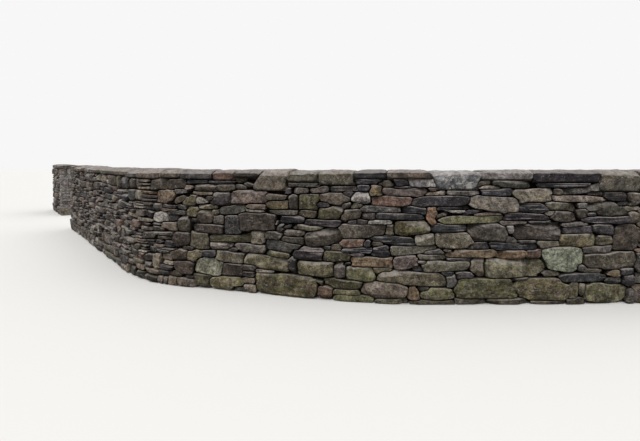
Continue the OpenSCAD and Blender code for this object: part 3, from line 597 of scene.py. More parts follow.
# One piece from groups of stones that share a ring layout; each group is points, tint, grain, kinds, count.
def meshOfStones(name, groups):
    points, tints, grains, kinds, loops, totals = [], [], [], [], [], []
    base = 0
    for point, tint, grain, kind, count in groups:
        n, m = point.shape[:2]
        if n == 0:
            continue
        quads, tris = ringFaces((m - 2) // count, count)
        # Turned over where the first stone's volume, the sum of a . (b x c) over its triangles, is negative
        split = np.concatenate([quads[:, [0, 1, 2]], quads[:, [0, 2, 3]], tris])
        a, b, c = np.moveaxis(point[0][split] - point[0][0], 1, 0)
        if np.einsum("ij,ij->i", a, np.cross(b, c)).sum() < 0:
            quads, tris = quads[:, ::-1], tris[:, ::-1]
        offset = base + np.arange(n)[:, None, None] * m
        loops += [(quads[None] + offset).reshape(-1), (tris[None] + offset).reshape(-1)]
        totals += [np.full(n * len(quads), 4), np.full(n * len(tris), 3)]
        points.append(point.reshape(-1, 3)), tints.append(tint.reshape(-1, 3))
        grains.append(grain.reshape(-1, 3)), kinds.append(kind.reshape(-1, 4))
        base += n * m
    points, loops, totals = np.concatenate(points), np.concatenate(loops), np.concatenate(totals)
    mesh = bpy.data.meshes.new(name)
    mesh.vertices.add(len(points))
    mesh.vertices.foreach_set("co", points.astype(np.float32).ravel())
    mesh.loops.add(len(loops))
    mesh.loops.foreach_set("vertex_index", loops.astype(np.int32))
    mesh.polygons.add(len(totals))
    mesh.polygons.foreach_set("loop_start", np.concatenate([[0], np.cumsum(totals)[:-1]]).astype(np.int32))
    mesh.polygons.foreach_set("loop_total", totals.astype(np.int32))
    mesh.update(calc_edges=True)
    mesh.polygons.foreach_set("use_smooth", np.ones(len(totals), bool))
    mesh.set_sharp_from_angle(angle=radians(24))
    tints = np.concatenate([np.concatenate(tints), np.ones((len(points), 1))], 1)
    for label, kindOf, key, data in (("stoneTint", "FLOAT_COLOR", "color", tints),
                                     ("stoneKind", "FLOAT_COLOR", "color", np.concatenate(kinds)),
                                     ("stoneGrain", "FLOAT_VECTOR", "vector", np.concatenate(grains))):
        mesh.attributes.new(label, kindOf, "POINT").data.foreach_set(key, data.astype(np.float32).ravel())
    return linked(name, mesh), len(totals)


courseFill = {
    "blockTop": (0.19, 0.27),      # height of the large blocks along the foot
    "blockLong": (0.32, 0.78),
    "band": (0.125, 0.215),        # height of a course before it is split into thinner stones
    "sway": (0.022, 0.014),        # how far a course wanders up and down, slowly and quickly
    "single": 0.46,                # share of a course left as one block high
    "through": 0.10,               # share of a course that rises through the next one too
    "double": 0.38,                # share split in two, and the rest is three thin slates
    "singleLong": (0.7, 3.3),      # lengths: of a single block by its height
    "throughLong": (1.7, 3.3),     # of one that rises through, by the height of its first course
    "doubleLong": (0.2, 0.52),
    "slateLong": (0.24, 0.5),
    "halved": (0.3, 0.45),         # layers longer than this are broken in two, and how often
    "footPin": (0.35, 0.07, 0.12), # how often a foot block has a pin beside it, and its least and most length
    "shortest": 0.035,             # shorter stones are left out
    "gap": 0.006,                  # gap that a stone leaves on each side, which it then spreads into
    "lean": 2.2,
}


# Heights at which courses begin, from the ground to the coping's bed.
def courseLevels(rng, finer):
    levels = [0.0, rng.uniform(*courseFill["blockTop"])]
    while levels[-1] < wallPlan["bed"] - 0.11:
        levels.append(levels[-1] + finer * rng.uniform(*courseFill["band"]))
    levels = np.array(levels)
    stretch = (wallPlan["bed"] - 0.004 - levels[1]) / (levels[-1] - levels[1])
    levels[1:] = levels[1] + (levels[1:] - levels[1]) * stretch
    return levels


# Courses between s0 and s1: large foot blocks, then uneven bands that wander up and down, split at random
# into single blocks, pairs and stacks of thin slates. Below 1, finer makes smaller stones, at the foot too.
def fillCourses(s0, s1, seed, tones, finer=1.0):
    rng = np.random.default_rng(seed)
    names, weights = list(tones), np.array(list(tones.values()), float)
    weights = weights / weights.sum()
    levels = courseLevels(rng, finer)
    last = len(levels) - 1
    phase = rng.uniform(0, 9, len(levels))
    slow, quick = courseFill["sway"]
    single, through = courseFill["single"], courseFill["through"]
    double = single + courseFill["double"]
    gap, lean, shortest = courseFill["gap"], courseFill["lean"], courseFill["shortest"]
    (longest, halved), (pinned, *pinLong) = courseFill["halved"], courseFill["footPin"]

    def level(k, s):
        sway = slow * np.sin(s * 1.9 + phase[k]) + quick * np.sin(s * 4.7 + 2 * phase[k])
        return levels[k] + (sway if 0 < k < last else 0)

    def longOf(kind, foot, tall):
        if foot:
            return finer ** 2 * rng.uniform(*courseFill["blockLong"])
        if kind < single:
            return tall * rng.uniform(*courseFill["throughLong" if kind < through else "singleLong"])
        return finer * rng.uniform(*courseFill["doubleLong" if kind < double else "slateLong"])

    # Shares of the height at which a course is split into layers
    def layersOf(kind, foot):
        if foot and finer < 1:
            return [rng.uniform(0.35, 0.62)]
        if foot or kind < single:
            return []
        return [rng.uniform(0.32, 0.68)] if kind < double else rng.uniform((0.25, 0.58), (0.4, 0.76))

    rows, risen = [], [[] for _ in levels]
    for k in range(last):
        foot, tall = k == 0, levels[k + 1] - levels[k]
        s = s0 + (rng.uniform(-0.2, 0) if k % 2 else 0)
        while s < s1 - 0.03:
            under = [b for a, b in risen[k] if a - 0.04 < s < b]
            if under:
                s = under[0]
                continue
            kind = rng.random()
            e = s + longOf(kind, foot, tall)
            e = s1 if s1 - e < 0.12 else e
            e = min([e] + [a for a, b in risen[k] if s < a < e + 0.06])
            a, b = max(s, s0), min(e, s1)
            z0, z1 = level(k, (a + b) / 2), level(k + 1, (a + b) / 2)
            both = levels[min(k + 2, last)] - levels[k]
            rises = (not foot and finer == 1 and kind < through and k + 1 < last
                     and both < 0.32 and b - a > 0.7 * both)
            if rises:
                z1 = level(k + 2, (a + b) / 2)
                risen[k + 1].append((a, b))
            cuts = [z0, *[z0 + (z1 - z0) * share for share in layersOf(kind, foot)], z1]
            for low, high in zip(cuts[:-1], cuts[1:]):
                parts = [a, b]
                if len(cuts) > 2 and b - a > longest and rng.random() < halved:
                    parts = [a, a + (b - a) * rng.uniform(0.35, 0.65), b]
                if foot and rng.random() < pinned:
                    parts = [a, b - rng.uniform(*pinLong), b]
                for start, end in zip(parts[:-1], parts[1:]):
                    if end - start < shortest:
                        continue
                    tone = names[rng.choice(len(names), p=weights)]
                    row = (start + gap, end - gap, low + gap, high - gap, tone, rng.normal(0, lean))
                    rows.append((*row, "block") if rises else row)
            s = e
    return rows


farTones = {"pink": 6, "tan": 2, "brownGrey": 4, "grey": 5, "brown": 3, "rust": 1, "darkGrey": 3,
            "darkBrown": 2, "pale": 3, "white": 1.2, "purple": 2, "greenGrey": 0.4}
nearTones = {"brown": 3, "brownGrey": 3, "olive": 3, "greenGrey": 3, "grey": 3, "tan": 2, "darkGrey": 3,
             "slate": 2, "purple": 2, "pink": 2, "orange": 0.5, "rust": 0.7, "white": 0.5, "moss": 1}
backTones = {"brown": 3, "brownGrey": 4, "greenGrey": 2, "grey": 4, "tan": 2, "darkGrey": 3, "slate": 2,
             "purple": 1, "pink": 3, "orange": 0.4, "rust": 0.7, "pale": 0.8, "moss": 0.6}

cornerStones = {
    "count": 7,
    "long": 0.36,
    "short": 0.22,
    "levels": {"right_end_quoins": [0.25, 0.409, 0.572, 0.731, 0.88, 1.038, 1.183, 1.352],
               "opening_near_quoins": [0.25, 0.408, 0.56, 0.703, 0.884, 1.074, 1.2, 1.352],
               "opening_far_quoins": [0.25, 0.409, 0.558, 0.707, 0.887, 1.025, 1.186, 1.352],
               "outer_end_quoins": [0.25, 0.402, 0.593, 0.719, 0.838, 1.02, 1.158, 1.352]},
    "tones": {"right_end_quoins": ["tan", "brownGrey", "pink", "grey", "brown", "orange", "greenGrey"],
              "opening_near_quoins": ["pink", "grey", "brownGrey", "pale", "tan", "grey", "brown"],
              "opening_far_quoins": ["ash", "white", "ash", "lichen", "white", "ash", "pale"],
              "outer_end_quoins": ["grey", "pink", "brownGrey", "tan", "grey", "pale", "brown"]},
    "arris": 0.010,
    "topSoft": 0.22,         # rounding of the upper edges, from crisp at 0 to well worn at 1
    "rough": 0.010,          # bumps of the surface
    "blunt": (0.005, 0.018), # how far the corners of an end are rounded off
    "uneven": 0.014,         # how far a stone stands back from the end of the wall
    "split": (0.13, 0.6),    # of the courses thicker than this, the share laid as two thin layers
    "halfGaps": (0.003, 0.012),    # half of a bed joint, and of the joint where two stones meet in a course
    "footLong": 0.42,        # length of the lowest stones
    "points": 30,            # round each ring
    "stations": 6,           # places along a stone that have a ring, without its drawn-in ends
}
capstones = {
    "gap": 0.011,
    "overhang": 0.014,
    "nearRise": 0.012,       # how far the near ones stand above the tops that were read
    "farTop": (0.007, 0.026),      # how far the others stand above the wall's height at most, and the spread
    "farBed": (0.010, 0.03),       # how far they reach below the bed at most, and the spread
    "arris": 0.02,
    "soften": (0.8, 1.0),    # rounding of the far ones' upper edges, from crisp at 0 to well worn at 1
    "wornFrom": 4.6,         # past this distance the front edges have worn down
    "worn": (0.02, 0.07),    # how far their front upper edge has worn down
    "wornNear": 0.012,       # and how far the others' has
    "wornBack": 0.55,        # how far in from the front that wear runs, as a share of half the wall
    "rough": 0.0085,         # bumps of the surface
    "skew": 0.028,           # how far a joint runs off square
    "lean": 0.14,            # how far a joint leans in the face, as a slope
    "leanFrom": 1.35,        # level at which a leaning joint stands where it was read
    "deepBelow": 1.34,       # capstones that reach below this level are let into the faces
    "blunt": (0.015, 0.07),  # how far the corners of an end are rounded off
    "step": 0.022,           # how far it steps sideways inside the wall
    "points": 46,
    "stations": 13,
    "tones": {"pink": 4, "brownGrey": 3, "grey": 3, "tan": 3, "greenGrey": 2, "pale": 2, "rust": 2,
              "purple": 1, "darkGrey": 2, "lichen": 1},
}


# Every capstone as a row: start, end, underside, top, tone, lean of each end, wear of ends and upper edges.
def makeCaps():
    rng = np.random.default_rng(71)
    names, weights = list(capstones["tones"]), np.array(list(capstones["tones"].values()), float)
    rows = [(*c[:3], c[3] + capstones["nearRise"], *c[4:]) for c in nearCaps]
    (highest, topSpread), (lowest, bedSpread) = capstones["farTop"], capstones["farBed"]
    for joints in (farJoints, outerJoints):
        for a, b in zip(joints[:-1], joints[1:]):
            top = wallPlan["height"] + highest - topSpread * rng.random()
            tone = names[rng.choice(len(names), p=weights / weights.sum())]
            under = wallPlan["bed"] + bedSpread * rng.random() - lowest
            endWear = 0.1 if a == outerStart or stopsAt(b) else rng.uniform(0, 0.6)
            rows.append((a, b, under, top, tone, endWear, rng.uniform(*capstones["soften"])))
    leans = rng.normal(0, capstones["lean"], len(rows) + 1).clip(-0.25, 0.25)
    for i, row in enumerate(rows):
        leans[i] = leaningJoints.get(row[0], leans[i])
    leans[[0] + [i + 1 for i, row in enumerate(rows) if stopsAt(row[1])]] = 0
    return [(*row[:5], *leans[i:i + 2], *row[5:]) for i, row in enumerate(rows)]


# What the capstones and the corner stones, which cross the whole wall, have in common
crossing = {
    "drawIn": (1, 0.75, 0.45, 0.2, 0.07, 0),   # how far the rings at an end are drawn in, from its pole on
    "roundEnd": (0.012, 2.4),  # how much further than the arris that reaches; its shape, where 2 is a circle
    "unequal": (0.7, 1.5),     # how much that reach varies
    "wornEnd": (1.3, 0.035),   # how much longer wear makes it, and how much blunter
    "square": (9, 6.5),        # how square a section is, and how much less so in its upper half
    "runOn": (0.87, 0.12, 0.009),   # share of the width inside which ends run on, how gradually, and how far
    "upright": (1.365, 0.015), # level below which leaning joints are upright in there, and how gradually
    "swell": (3.4, 3.4, 5),    # slow bumps to the metre: along, across and up
    "bumps": 14,               # quick ones
    "strata": (4, 4, 60),      # layers
    "relief": (1.3, 0.8, 0.003),    # heights of the three: two as shares of the roughness, and one in metres
    "seatFrom": 0.02,          # how far from the end of the wall packed stones begin to touch
    "tints": (0.06, 0.02),     # how much their shades and their hues vary
}


# Points of stones that are carried along the wall, ring by ring between a pole at each end. The sections are
# superellipses, rounder above, in which x runs across from -1 to 1 and y up from -1 to 1. Gives the points'
# s, z, x and y, how much they face down, what the rounding takes off below, and which end they are at: -1, 1
# or 0 for neither.
def carriedRings(rng, look, s0, s1, z0, z1, depth, wear, topSoft):
    n, tall = len(s0), (z1 - z0)[..., None] / 2
    (beyond, endPower), (longer, blunter) = crossing["roundEnd"], crossing["wornEnd"]
    reach = (look["arris"] + beyond) * rng.uniform(*crossing["unequal"], (n, 1)) * (1 + longer * wear)
    blunt = rng.uniform(*look["blunt"], (n, 1)) + blunter * wear
    drawIn = np.array(crossing["drawIn"])
    back = reach * (1 - np.sqrt(1 - (1 - drawIn) ** endPower))
    between = np.linspace(0, 1, look["stations"])[1:-1]
    s = np.concatenate([s0 + back, s0 + reach + (s1 - s0 - 2 * reach) * between, s1 - back[:, ::-1]], 1)
    drawn = np.concatenate([drawIn, 0 * between, drawIn[::-1]])[:, None]
    endward = np.repeat([-1.0, 0.0, 1.0], [len(drawIn), len(between), len(drawIn)])

    t = np.linspace(0, 2 * np.pi, look["points"], endpoint=False)
    square, rounder = crossing["square"]
    soft = np.broadcast_to(topSoft, n)[:, None, None]
    power = square - rounder * np.clip(np.sin(t), 0, 1) ** 0.35 * soft
    cx, cy = [np.sign(w) * np.abs(w) ** (2 / power) for w in (np.cos(t), np.sin(t))]
    sx = np.where(drawn == 1, 0.3, 1 - drawn * 0.03 / depth[..., None])
    sy = np.where(drawn == 1, 0.3, 1 - drawn * np.minimum(blunt[..., None], tall * 0.5) / tall)
    x, y = cx * sx, cy * sy
    lower = np.broadcast_to(np.clip(-cy, 0, 1), y.shape)
    lost = lower * tall * (1 - sy)
    middleZ = (z0 + z1) / 2
    s, z = np.broadcast_to(s[..., None], y.shape), middleZ[..., None] + tall * y

    def withPoles(w, first=0.0, last=0.0):
        return np.concatenate([first + np.zeros((n, 1)), w.reshape(n, -1), last + np.zeros((n, 1))], 1)

    endward = np.concatenate([[-1.0], np.repeat(endward, look["points"]), [1.0]])
    s, z = withPoles(s, s0, s1), withPoles(z, middleZ, middleZ)
    return (s, z, *[withPoles(w) for w in (x, y, lower, lost)], endward)


# Stones that cross the wall. Rows are start, end, underside, top, tone, lean of each end and wear.
def carriedStones(rows, seed, overhang, look, free, topSoft, skews=None, across=None, worn=None,
                  packed=False):
    rng = np.random.default_rng(seed)
    n = len(rows)
    s0, s1, z0, z1 = [np.array([r[i] for r in rows], float)[:, None] for i in range(4)]
    tone = np.array([toneNames.index(r[4]) for r in rows])
    lean = np.array([r[5:7] for r in rows], float)
    wear = np.array([r[7] if len(r) > 7 else 0 for r in rows], float)[:, None]
    across = np.array([[-1.0, 1.0]] * n if across is None else across)
    middleS, middleZ, half = (s0 + s1) / 2, (z0 + z1) / 2, (z1 - z0) / 2
    depth = (backAt(1.4) - frontAt(1.4)) / 2 * (across[:, 1:] - across[:, :1]) / 2
    s, z, x, y, lower, lost, endward = carriedRings(rng, look, s0, s1, z0, z1, depth, wear, topSoft)

    # Inside the wall the ends run on until they meet their neighbours
    wide = (across[:, :1] + across[:, 1:]) / 2 + x * (across[:, 1:] - across[:, :1]) / 2
    within, blend, further = crossing["runOn"]
    inside = np.clip((within - np.abs(wide)) / blend, 0, 1)
    buried = inside * (1 if packed else np.clip((0.5 - y) / 0.3, 0, 1))
    buried = buried * np.where(endward < 0, ~free[:, :1], ~free[:, 1:]) * (endward != 0)
    s = s + buried * (np.where(endward < 0, s0 - further, s1 + further) - s)
    share = np.clip((s - s0) / (s1 - s0), 0, 1)
    if skews is not None:
        bend = np.clip((x + 0.7) / 0.5, 0, 1)
        skew0, skew1 = [skews[:, k, :1] * x + skews[:, k, 1:] * bend for k in (0, 1)]
        s = s + skew0 * (1 - share) + skew1 * share
    slope = lean[:, :1] * (1 - share) + lean[:, 1:] * share
    level, blend = crossing["upright"]
    bedding = inside * np.clip((level - z) / blend, 0, 1)
    s = s + slope * (1 - bedding) * (z - capstones["leanFrom"])

    # Bumps, the worn front edge, and a flat bed behind the face
    grain = np.stack([s - middleS, x * depth, z - middleZ], -1) + rng.uniform(0, 40, (n, 1, 3))
    size = np.clip((z1 - z0) / 0.12, 0.6, 1.3)
    swell = roughness(grain * np.array(crossing["swell"]), seed + 3, 2)
    bumps = roughness(grain * crossing["bumps"], seed + 5, 3)
    strata = latticeNoise(grain * np.array(crossing["strata"]), seed + 7) * toneKind[tone, 2][:, None]
    slow, quick, layer = crossing["relief"]
    push = size * look["rough"] * (slow * swell + quick * bumps) + layer * strata
    sag = -np.abs(swell) * 0.004 - (0.001 if packed else 0.004)
    over = overhang(z, rng.uniform(-1, 1, (n, 1))) + 0.010 * latticeNoise(grain * 8, seed + 13)
    lo, hi = frontAt(z) - over, backAt(z) + over
    d = (lo + hi) / 2 + wide * (hi - lo) / 2 + np.sign(x) * np.abs(x) ** 2 * push
    fallen = np.clip((-x - 1 + capstones["wornBack"]) / capstones["wornBack"], 0, 1) ** 1.3
    fallen = fallen * (0 if worn is None else worn[:, None] + 0.012 * wear)
    fallen = fallen * (1 + 0.5 * latticeNoise(grain * 6, seed + 15))
    z = z + np.clip(y, 0, 1) * (push * 0.7 + sag - fallen)
    bedded = np.clip(z0 - wallPlan["bed"] + 0.003, 0, 1)
    z = z - (lost + lower * bedded) * np.clip((x + 0.85) / 0.35, 0, 1)
    if packed:                                                                  # and up to the stone above
        openEnd = np.where(free[:, :1], s - s0, s1 - s)
        seat = inside * np.clip((openEnd - crossing["seatFrom"]) / 0.025, 0, 1)
        z = z + seat * (middleZ + y * (half + 0.007) - z)
    outward = np.where(s < middleS, -1.0, 1.0) * (np.abs(share - 0.5) > 0.495)
    s = s + outward * (push - 0.004) * (1 - np.abs(y) ** 3) * (1 - buried)
    point = wallPoint(s, d, np.clip(z, 0, None))
    shade, hue = crossing["tints"]
    tint = toneColour[tone] * rng.normal(1, shade, (n, 1)) * (1 + rng.normal(0, hue, (n, 3)))
    kind = np.clip(toneKind[tone] * rng.uniform(0.7, 1.2, (n, 3)), 0, 1)
    kinds = np.concatenate([np.broadcast_to(kind[:, None], (*z.shape, 3)), np.zeros((*z.shape, 1))], -1)
    return point, np.broadcast_to(tint[:, None], point.shape), grain, kinds, look["points"]


def capOverhang(z, jitter):
    return (capstones["overhang"] + 0.016 * jitter) * np.clip((z - 1.30) / 0.06, 0, 1) - 0.004


capRows = makeCaps()
capStart, capEnd, capUnder, capSoft = [np.array([r[i] for r in capRows]) for i in (0, 1, 2, 8)]
capStops = np.array([stopsAt(end) for end in capEnd])
capFree = np.stack([(capStart == 0) | (capStart == outerStart), capStops], 1)
# A joint runs off square and steps aside, but not beside a deep capstone and not at an end of the wall
deepCap = capUnder < capstones["deepBelow"]
plain = np.concatenate([[True], deepCap | capStops]) | np.concatenate([deepCap, [True]])
jointSkew = np.random.default_rng(73).uniform(-1, 1, len(plain)) * capstones["skew"]
jointStep = np.random.default_rng(76).choice([-1, 1], len(plain)) * capstones["step"]
jointBends = np.where(plain[:, None], 0, np.stack([jointSkew, jointStep], 1))
# Each capstone ends half a gap short of its neighbours
capTight, halfGap = [], capstones["gap"] / 2
for row, after in zip(capRows, [*capStart[1:], wallEnd]):
    stop = runEnd if row[0] < runEnd < after else after
    capTight.append((row[0] + halfGap * (row[0] > 0), stop - halfGap * (not stopsAt(stop)), *row[2:]))
capWorn = np.random.default_rng(75).uniform(*capstones["worn"], len(capRows))
capWorn = np.where((capStart > capstones["wornFrom"]) & ~capFree.any(1), capWorn, capstones["wornNear"])
caps = carriedStones(capTight, 77, capOverhang, capstones, capFree, capSoft, worn=capWorn,
                     skews=np.stack([jointBends[:-1], jointBends[1:]], 1))
print("capstones shaped:", len(capRows))

# Each end of the wall: where it stands and which way along the wall leads into it
cornerEnds = {"right_end_quoins": (0.0, 1), "opening_near_quoins": (runEnd, -1),
              "opening_far_quoins": (outerStart, 1), "outer_end_quoins": (wallEnd, -1)}


# Corner stones of one end, long and short by turns: each course is one stone right through or two that meet.
def cornerRows(name, turned):
    end, inward = cornerEnds[name]
    rng = np.random.default_rng(60 + turned)
    rows, across = [], []
    (thick, often), (bedGap, sideGap) = cornerStones["split"], cornerStones["halfGaps"]
    for i in range(-1, cornerStones["count"]):
        long = cornerStones["footLong" if i < 0 else "long" if i % 2 == 0 else "short"]
        z0, z1 = (0.0, wallPlan["blockTop"]) if i < 0 else cornerStones["levels"][name][i:i + 2]
        a, b = sorted((end, end + inward * long))
        split = z1 - z0 > thick and i >= 0 and rng.random() < often
        layers = [z0, z0 + (z1 - z0) * rng.uniform(0.36, 0.64), z1] if split else [z0, z1]
        for j in range(len(layers) - 1):
            parts = [-1, 1] if (i + j) % 4 == 1 else [-1, rng.uniform(-0.4, 0.45), 1]
            for k in range(len(parts) - 1):
                tone = cornerStones["tones"][name][(i * 3 + k * 2 + j * 4 + turned) % 7]
                back = rng.uniform(0, cornerStones["uneven"]) * inward * (i >= 0)
                ends = (a + max(back, 0), b + min(back, 0))
                rows.append((*ends, layers[j] + bedGap, layers[j + 1] - bedGap, tone, 0.0, 0.0))
                last = k + 2 == len(parts)
                across.append((parts[k] + (sideGap if k else 0), parts[k + 1] - (0 if last else sideGap)))
    return rows, across


# The lowest corner stones stand out like the rest of the footing.
def cornerOverhang(z, jitter):
    return 0.005 * jitter + 0.016 * np.clip((0.252 - z) / 0.01, 0, 1)


corners, cornerBoxes = {}, []
for k, (name, (_, inward)) in enumerate(cornerEnds.items()):
    rows, across = cornerRows(name, k)
    free = np.array([(inward > 0, inward < 0)] * len(rows))
    corners[name] = carriedStones(rows, 90 + k, cornerOverhang, cornerStones, free, cornerStones["topSoft"],
                                  across=across, packed=True)
    cornerBoxes += [(row[:4], inward) for row in rows]
print("corner stones shaped:", sum(len(stones[0]) for stones in corners.values()))

# What the face stones stop at: the capstones, the part of each deep one below the bed, shifted by its lean,
# the corner stones, the ground, the level above the bed, and the air past each end
below = capstones["deepBelow"]
lowered = [(r, (r[2] + below) / 2 - capstones["leanFrom"]) for r in capTight if r[2] < below]
walls = boxCells([(r[0], r[1], max(r[2] - 0.003, below if r[2] < below else 0), r[3] + 0.1) for r in capTight]
                 + [(r[0] + r[5] * up, r[1] + r[6] * up, r[2] - 0.003, below + 0.005) for r, up in lowered]
                 + [(r[0] - 0.006, r[1] + 0.006, r[2] - 0.004, r[3] + 0.004) for r, _ in cornerBoxes]
                 + [(-9, 30, -0.6, 0.0), (-9, 30, wallPlan["bed"] + 0.06, 2.0), (-1, 0, -1, 2),
                    (runEnd, outerStart, -1, 2), (wallEnd, wallEnd + 1, -1, 2)])


# Filled-in stones, cut short where they would run under a corner stone, and left out where little is left.
def trimmed(rows):
    kept = []
    for row in rows:
        a, b, low, high = row[:4]
        for (q0, q1, z0, z1), inward in cornerBoxes:
            if q0 < b and q1 > a and min(high, z1) - max(low, z0) > 0.3 * (high - low):
                a, b = (max(a, q1 + 0.004), b) if inward > 0 else (a, min(b, q0 - 0.004))
        if b - a > 0.05:
            kept.append((a, b, *row[2:]))
    return kept


# Drops filled-in stones whose middle lies on a stone that was read from the wall.
def notOverNear(rows, spare=0.02):
    def isOver(s, z):
        return any(a - spare < s < b + spare and c - spare < z < d + spare for a, b, c, d, *_ in nearStones)
    return [r for r in rows if not isOver((r[0] + r[1]) / 2, (r[2] + r[3]) / 2)]


# The stones of a face, with pinning stones in the gaps that are left, and how many those are.
def withPins(cells, seeds):
    pins = pinningStones(cells, walls, 0.0, runEnd, seeds[0])
    pins += pinningStones(cells, walls, outerStart, wallEnd, seeds[1])
    return joined(cells, stoneCells(pins, seeds[2], True)), len(pins)


# Stones of one side, shaped in groups by their detail.
def layFace(cells, side, seed, groups):
    laid = []
    for label, which in groups.items():
        if not which.any():
            continue
        count = faceStones["points"][label]
        part = picked(cells, which)
        steps = np.searchsorted(list(faceStones["joint"]), part["cs"], "right") - 1
        joint = np.array(list(faceStones["joint"].values()))[np.maximum(steps, 0)]
        joint = joint if side == "front" else np.minimum(joint, faceStones["backJoint"])
        outline = growOutlines(part, joined(picked(cells, ~which), walls), count, joint)
        laid.append((part, *shapeStones(part, outline, side, label, seed + len(laid)), count))
    return laid


print("laying the faces")
frontFill = (notOverNear(fillCourses(0.0, 1.12, 11, nearTones))
             + notOverNear(fillCourses(6.30, runEnd, 12, farTones, 0.74))
             + fillCourses(outerStart, wallEnd, 13, farTones, 0.74))
frontCells = joined(stoneCells(nearStones, 21), stoneCells(trimmed(frontFill), 22))
frontCells, pins = withPins(frontCells, (23, 25, 24))
print("front stones:", len(frontCells["cs"]), "of which pinning stones:", pins)
backFill = fillCourses(0.0, runEnd, 31, backTones) + fillCourses(outerStart, wallEnd, 32, backTones)
backCells, _ = withPins(stoneCells(trimmed(backFill), 33), (34, 35, 36))
print("back stones:", len(backCells["cs"]))
detailed = frontCells["cs"] < faceStones["detailTo"]
large = frontCells["a"] + frontCells["b"] > faceStones["small"]
frontGroups = layFace(frontCells, "front", 41, {"large": detailed & large, "small": detailed & ~large,
                                                "far": ~detailed})
backGroups = layFace(backCells, "back", 51, {"back": np.ones(len(backCells["cs"]), bool)})
print("stones shaped")

packing = {
    "foot": (0.002, 0.256),  # its levels behind the foundation stones
    "cover": 0.13,           # how far it stays inside both faces
    "endClear": 0.2,         # how far it stays clear of the wall's ends, where the corner stones are
    "joint": 0.06,           # how far it runs to each side of a leaning joint of the coping
    "jointLevels": (1.18, 1.42),
    "tone": (52, 47, 44),
    "points": 16,
    "stations": 9,
}


# Packing between the two faces, dark stone with painted joint shade on it: a rounded section carried along
# the wall, closed at its ends.
def packingOf(begin, end, low, high):
    t = np.linspace(0, 2 * np.pi, packing["points"], endpoint=False)
    begin = begin + (packing["endClear"] if begin in (0, outerStart) else -0.002)
    end = end - (packing["endClear"] if stopsAt(end) else -0.002)
    u = np.concatenate([[0, 0], np.linspace(0, 1, packing["stations"]), [1, 1]])
    drawn = np.concatenate([[0.5, 0.96], np.ones(packing["stations"]), [0.96, 0.5]])
    x, y = [np.sign(w) * np.abs(w) ** 0.3 * drawn[:, None] for w in (np.cos(t), np.sin(t))]
    s = np.broadcast_to(begin + (end - begin) * u[:, None], x.shape)
    z = (low + high) / 2 + (high - low) / 2 * y
    lo, hi = frontAt(high) + packing["cover"], backAt(high) - packing["cover"]
    d = (lo + hi) / 2 + x * (hi - lo) / 2
    s, z, d = [np.concatenate([[w[0].mean()], w.ravel(), [w[-1].mean()]])[None] for w in (s, z, d)]
    point = wallPoint(s, d, z)
    tint = np.broadcast_to(toLinear(packing["tone"]), point.shape)
    kinds = np.zeros((*z.shape, 4))
    # Painted shade: the packing is darkened as a stone lying deep in its joint
    kinds[..., 3] = 0.8
    return point, tint, point, kinds, packing["points"]


stoneLook = {
    "mottle": 0.56,          # patchiness of each stone's own colour
    "speck": 0.2,            # grain of fine light and dark specks
    "lichen": (0.40, 0.39, 0.355),
    "moss": (0.122, 0.114, 0.048),
    "spots": (0.60, 0.58, 0.54),    # pale spots and blotches of lichen
    "dustAndSkyLight": (0.54, 0.485, 0.45),    # pale dust, and painted sky light, on surfaces that face the sky
    "shade": 0.55,           # painted shade: how much darker a stone is made inside its joints
    "cracks": (0.25, 0.23, 0.21),   # light left in a crack
    "gloss": 0.28,
    "bump": 1.0,
    "flake": 0.045,          # depth of the thin flakes broken off its surface
}
rubbleLook = {
    "scale": 13.0,           # stones to the metre
    "tones": ((58, 53, 50), (92, 84, 76)),
    "rim": (0.12, 0.25),     # how far from its edge a stone is darkened, and the light left at the edge
    "bump": 0.02,
}


# Links each input of a node where its value is a socket, and sets it where it is a number or a colour.
def feed(node, inputs):
    for key, value in inputs.items():
        if isinstance(value, bpy.types.NodeSocket):
            node.id_data.links.new(value, node.inputs[key])
        else:
            node.inputs[key].default_value = value
    return node.outputs


# These add one node each to the tree of the socket that they are given, and return what it gives out.
def math(kind, a, b=0.5, clamp=False):
    node = a.id_data.nodes.new("ShaderNodeMath")
    node.operation, node.use_clamp = kind, clamp
    return feed(node, {0: a, 1: b})[0]


def mix(kind, factor, a, b):
    tree = (a if isinstance(a, bpy.types.NodeSocket) else factor).id_data
    node = tree.nodes.new("ShaderNodeMix")
    node.data_type, node.blend_type = "RGBA", kind
    return feed(node, {0: factor, 6: a, 7: b})[2]


def noise(vector, scale, detail, rough=0.55, distortion=0.0):
    node = vector.id_data.nodes.new("ShaderNodeTexNoise")
    return feed(node, {"Vector": vector, "Scale": scale, "Detail": detail, "Roughness": rough,
                       "Distortion": distortion})["Fac"]


def ramp(value, low, high, a=0.0, b=1.0):
    node = value.id_data.nodes.new("ShaderNodeMapRange")
    node.interpolation_type = "SMOOTHSTEP"
    return feed(node, {"Value": value, "From Min": low, "From Max": high, "To Min": a, "To Max": b})["Result"]


def stretched(vector, scale):
    node = vector.id_data.nodes.new("ShaderNodeVectorMath")
    node.operation = "MULTIPLY"
    return feed(node, {0: vector, 1: scale})[0]


def grey(value):
    return feed(value.id_data.nodes.new("ShaderNodeCombineColor"), {0: value, 1: value, 2: value})[0]


def newMaterial(name):
    material = bpy.data.materials.new(name)
    material.use_nodes = True
    return material, material.node_tree.nodes, material.node_tree.nodes["Principled BSDF"]
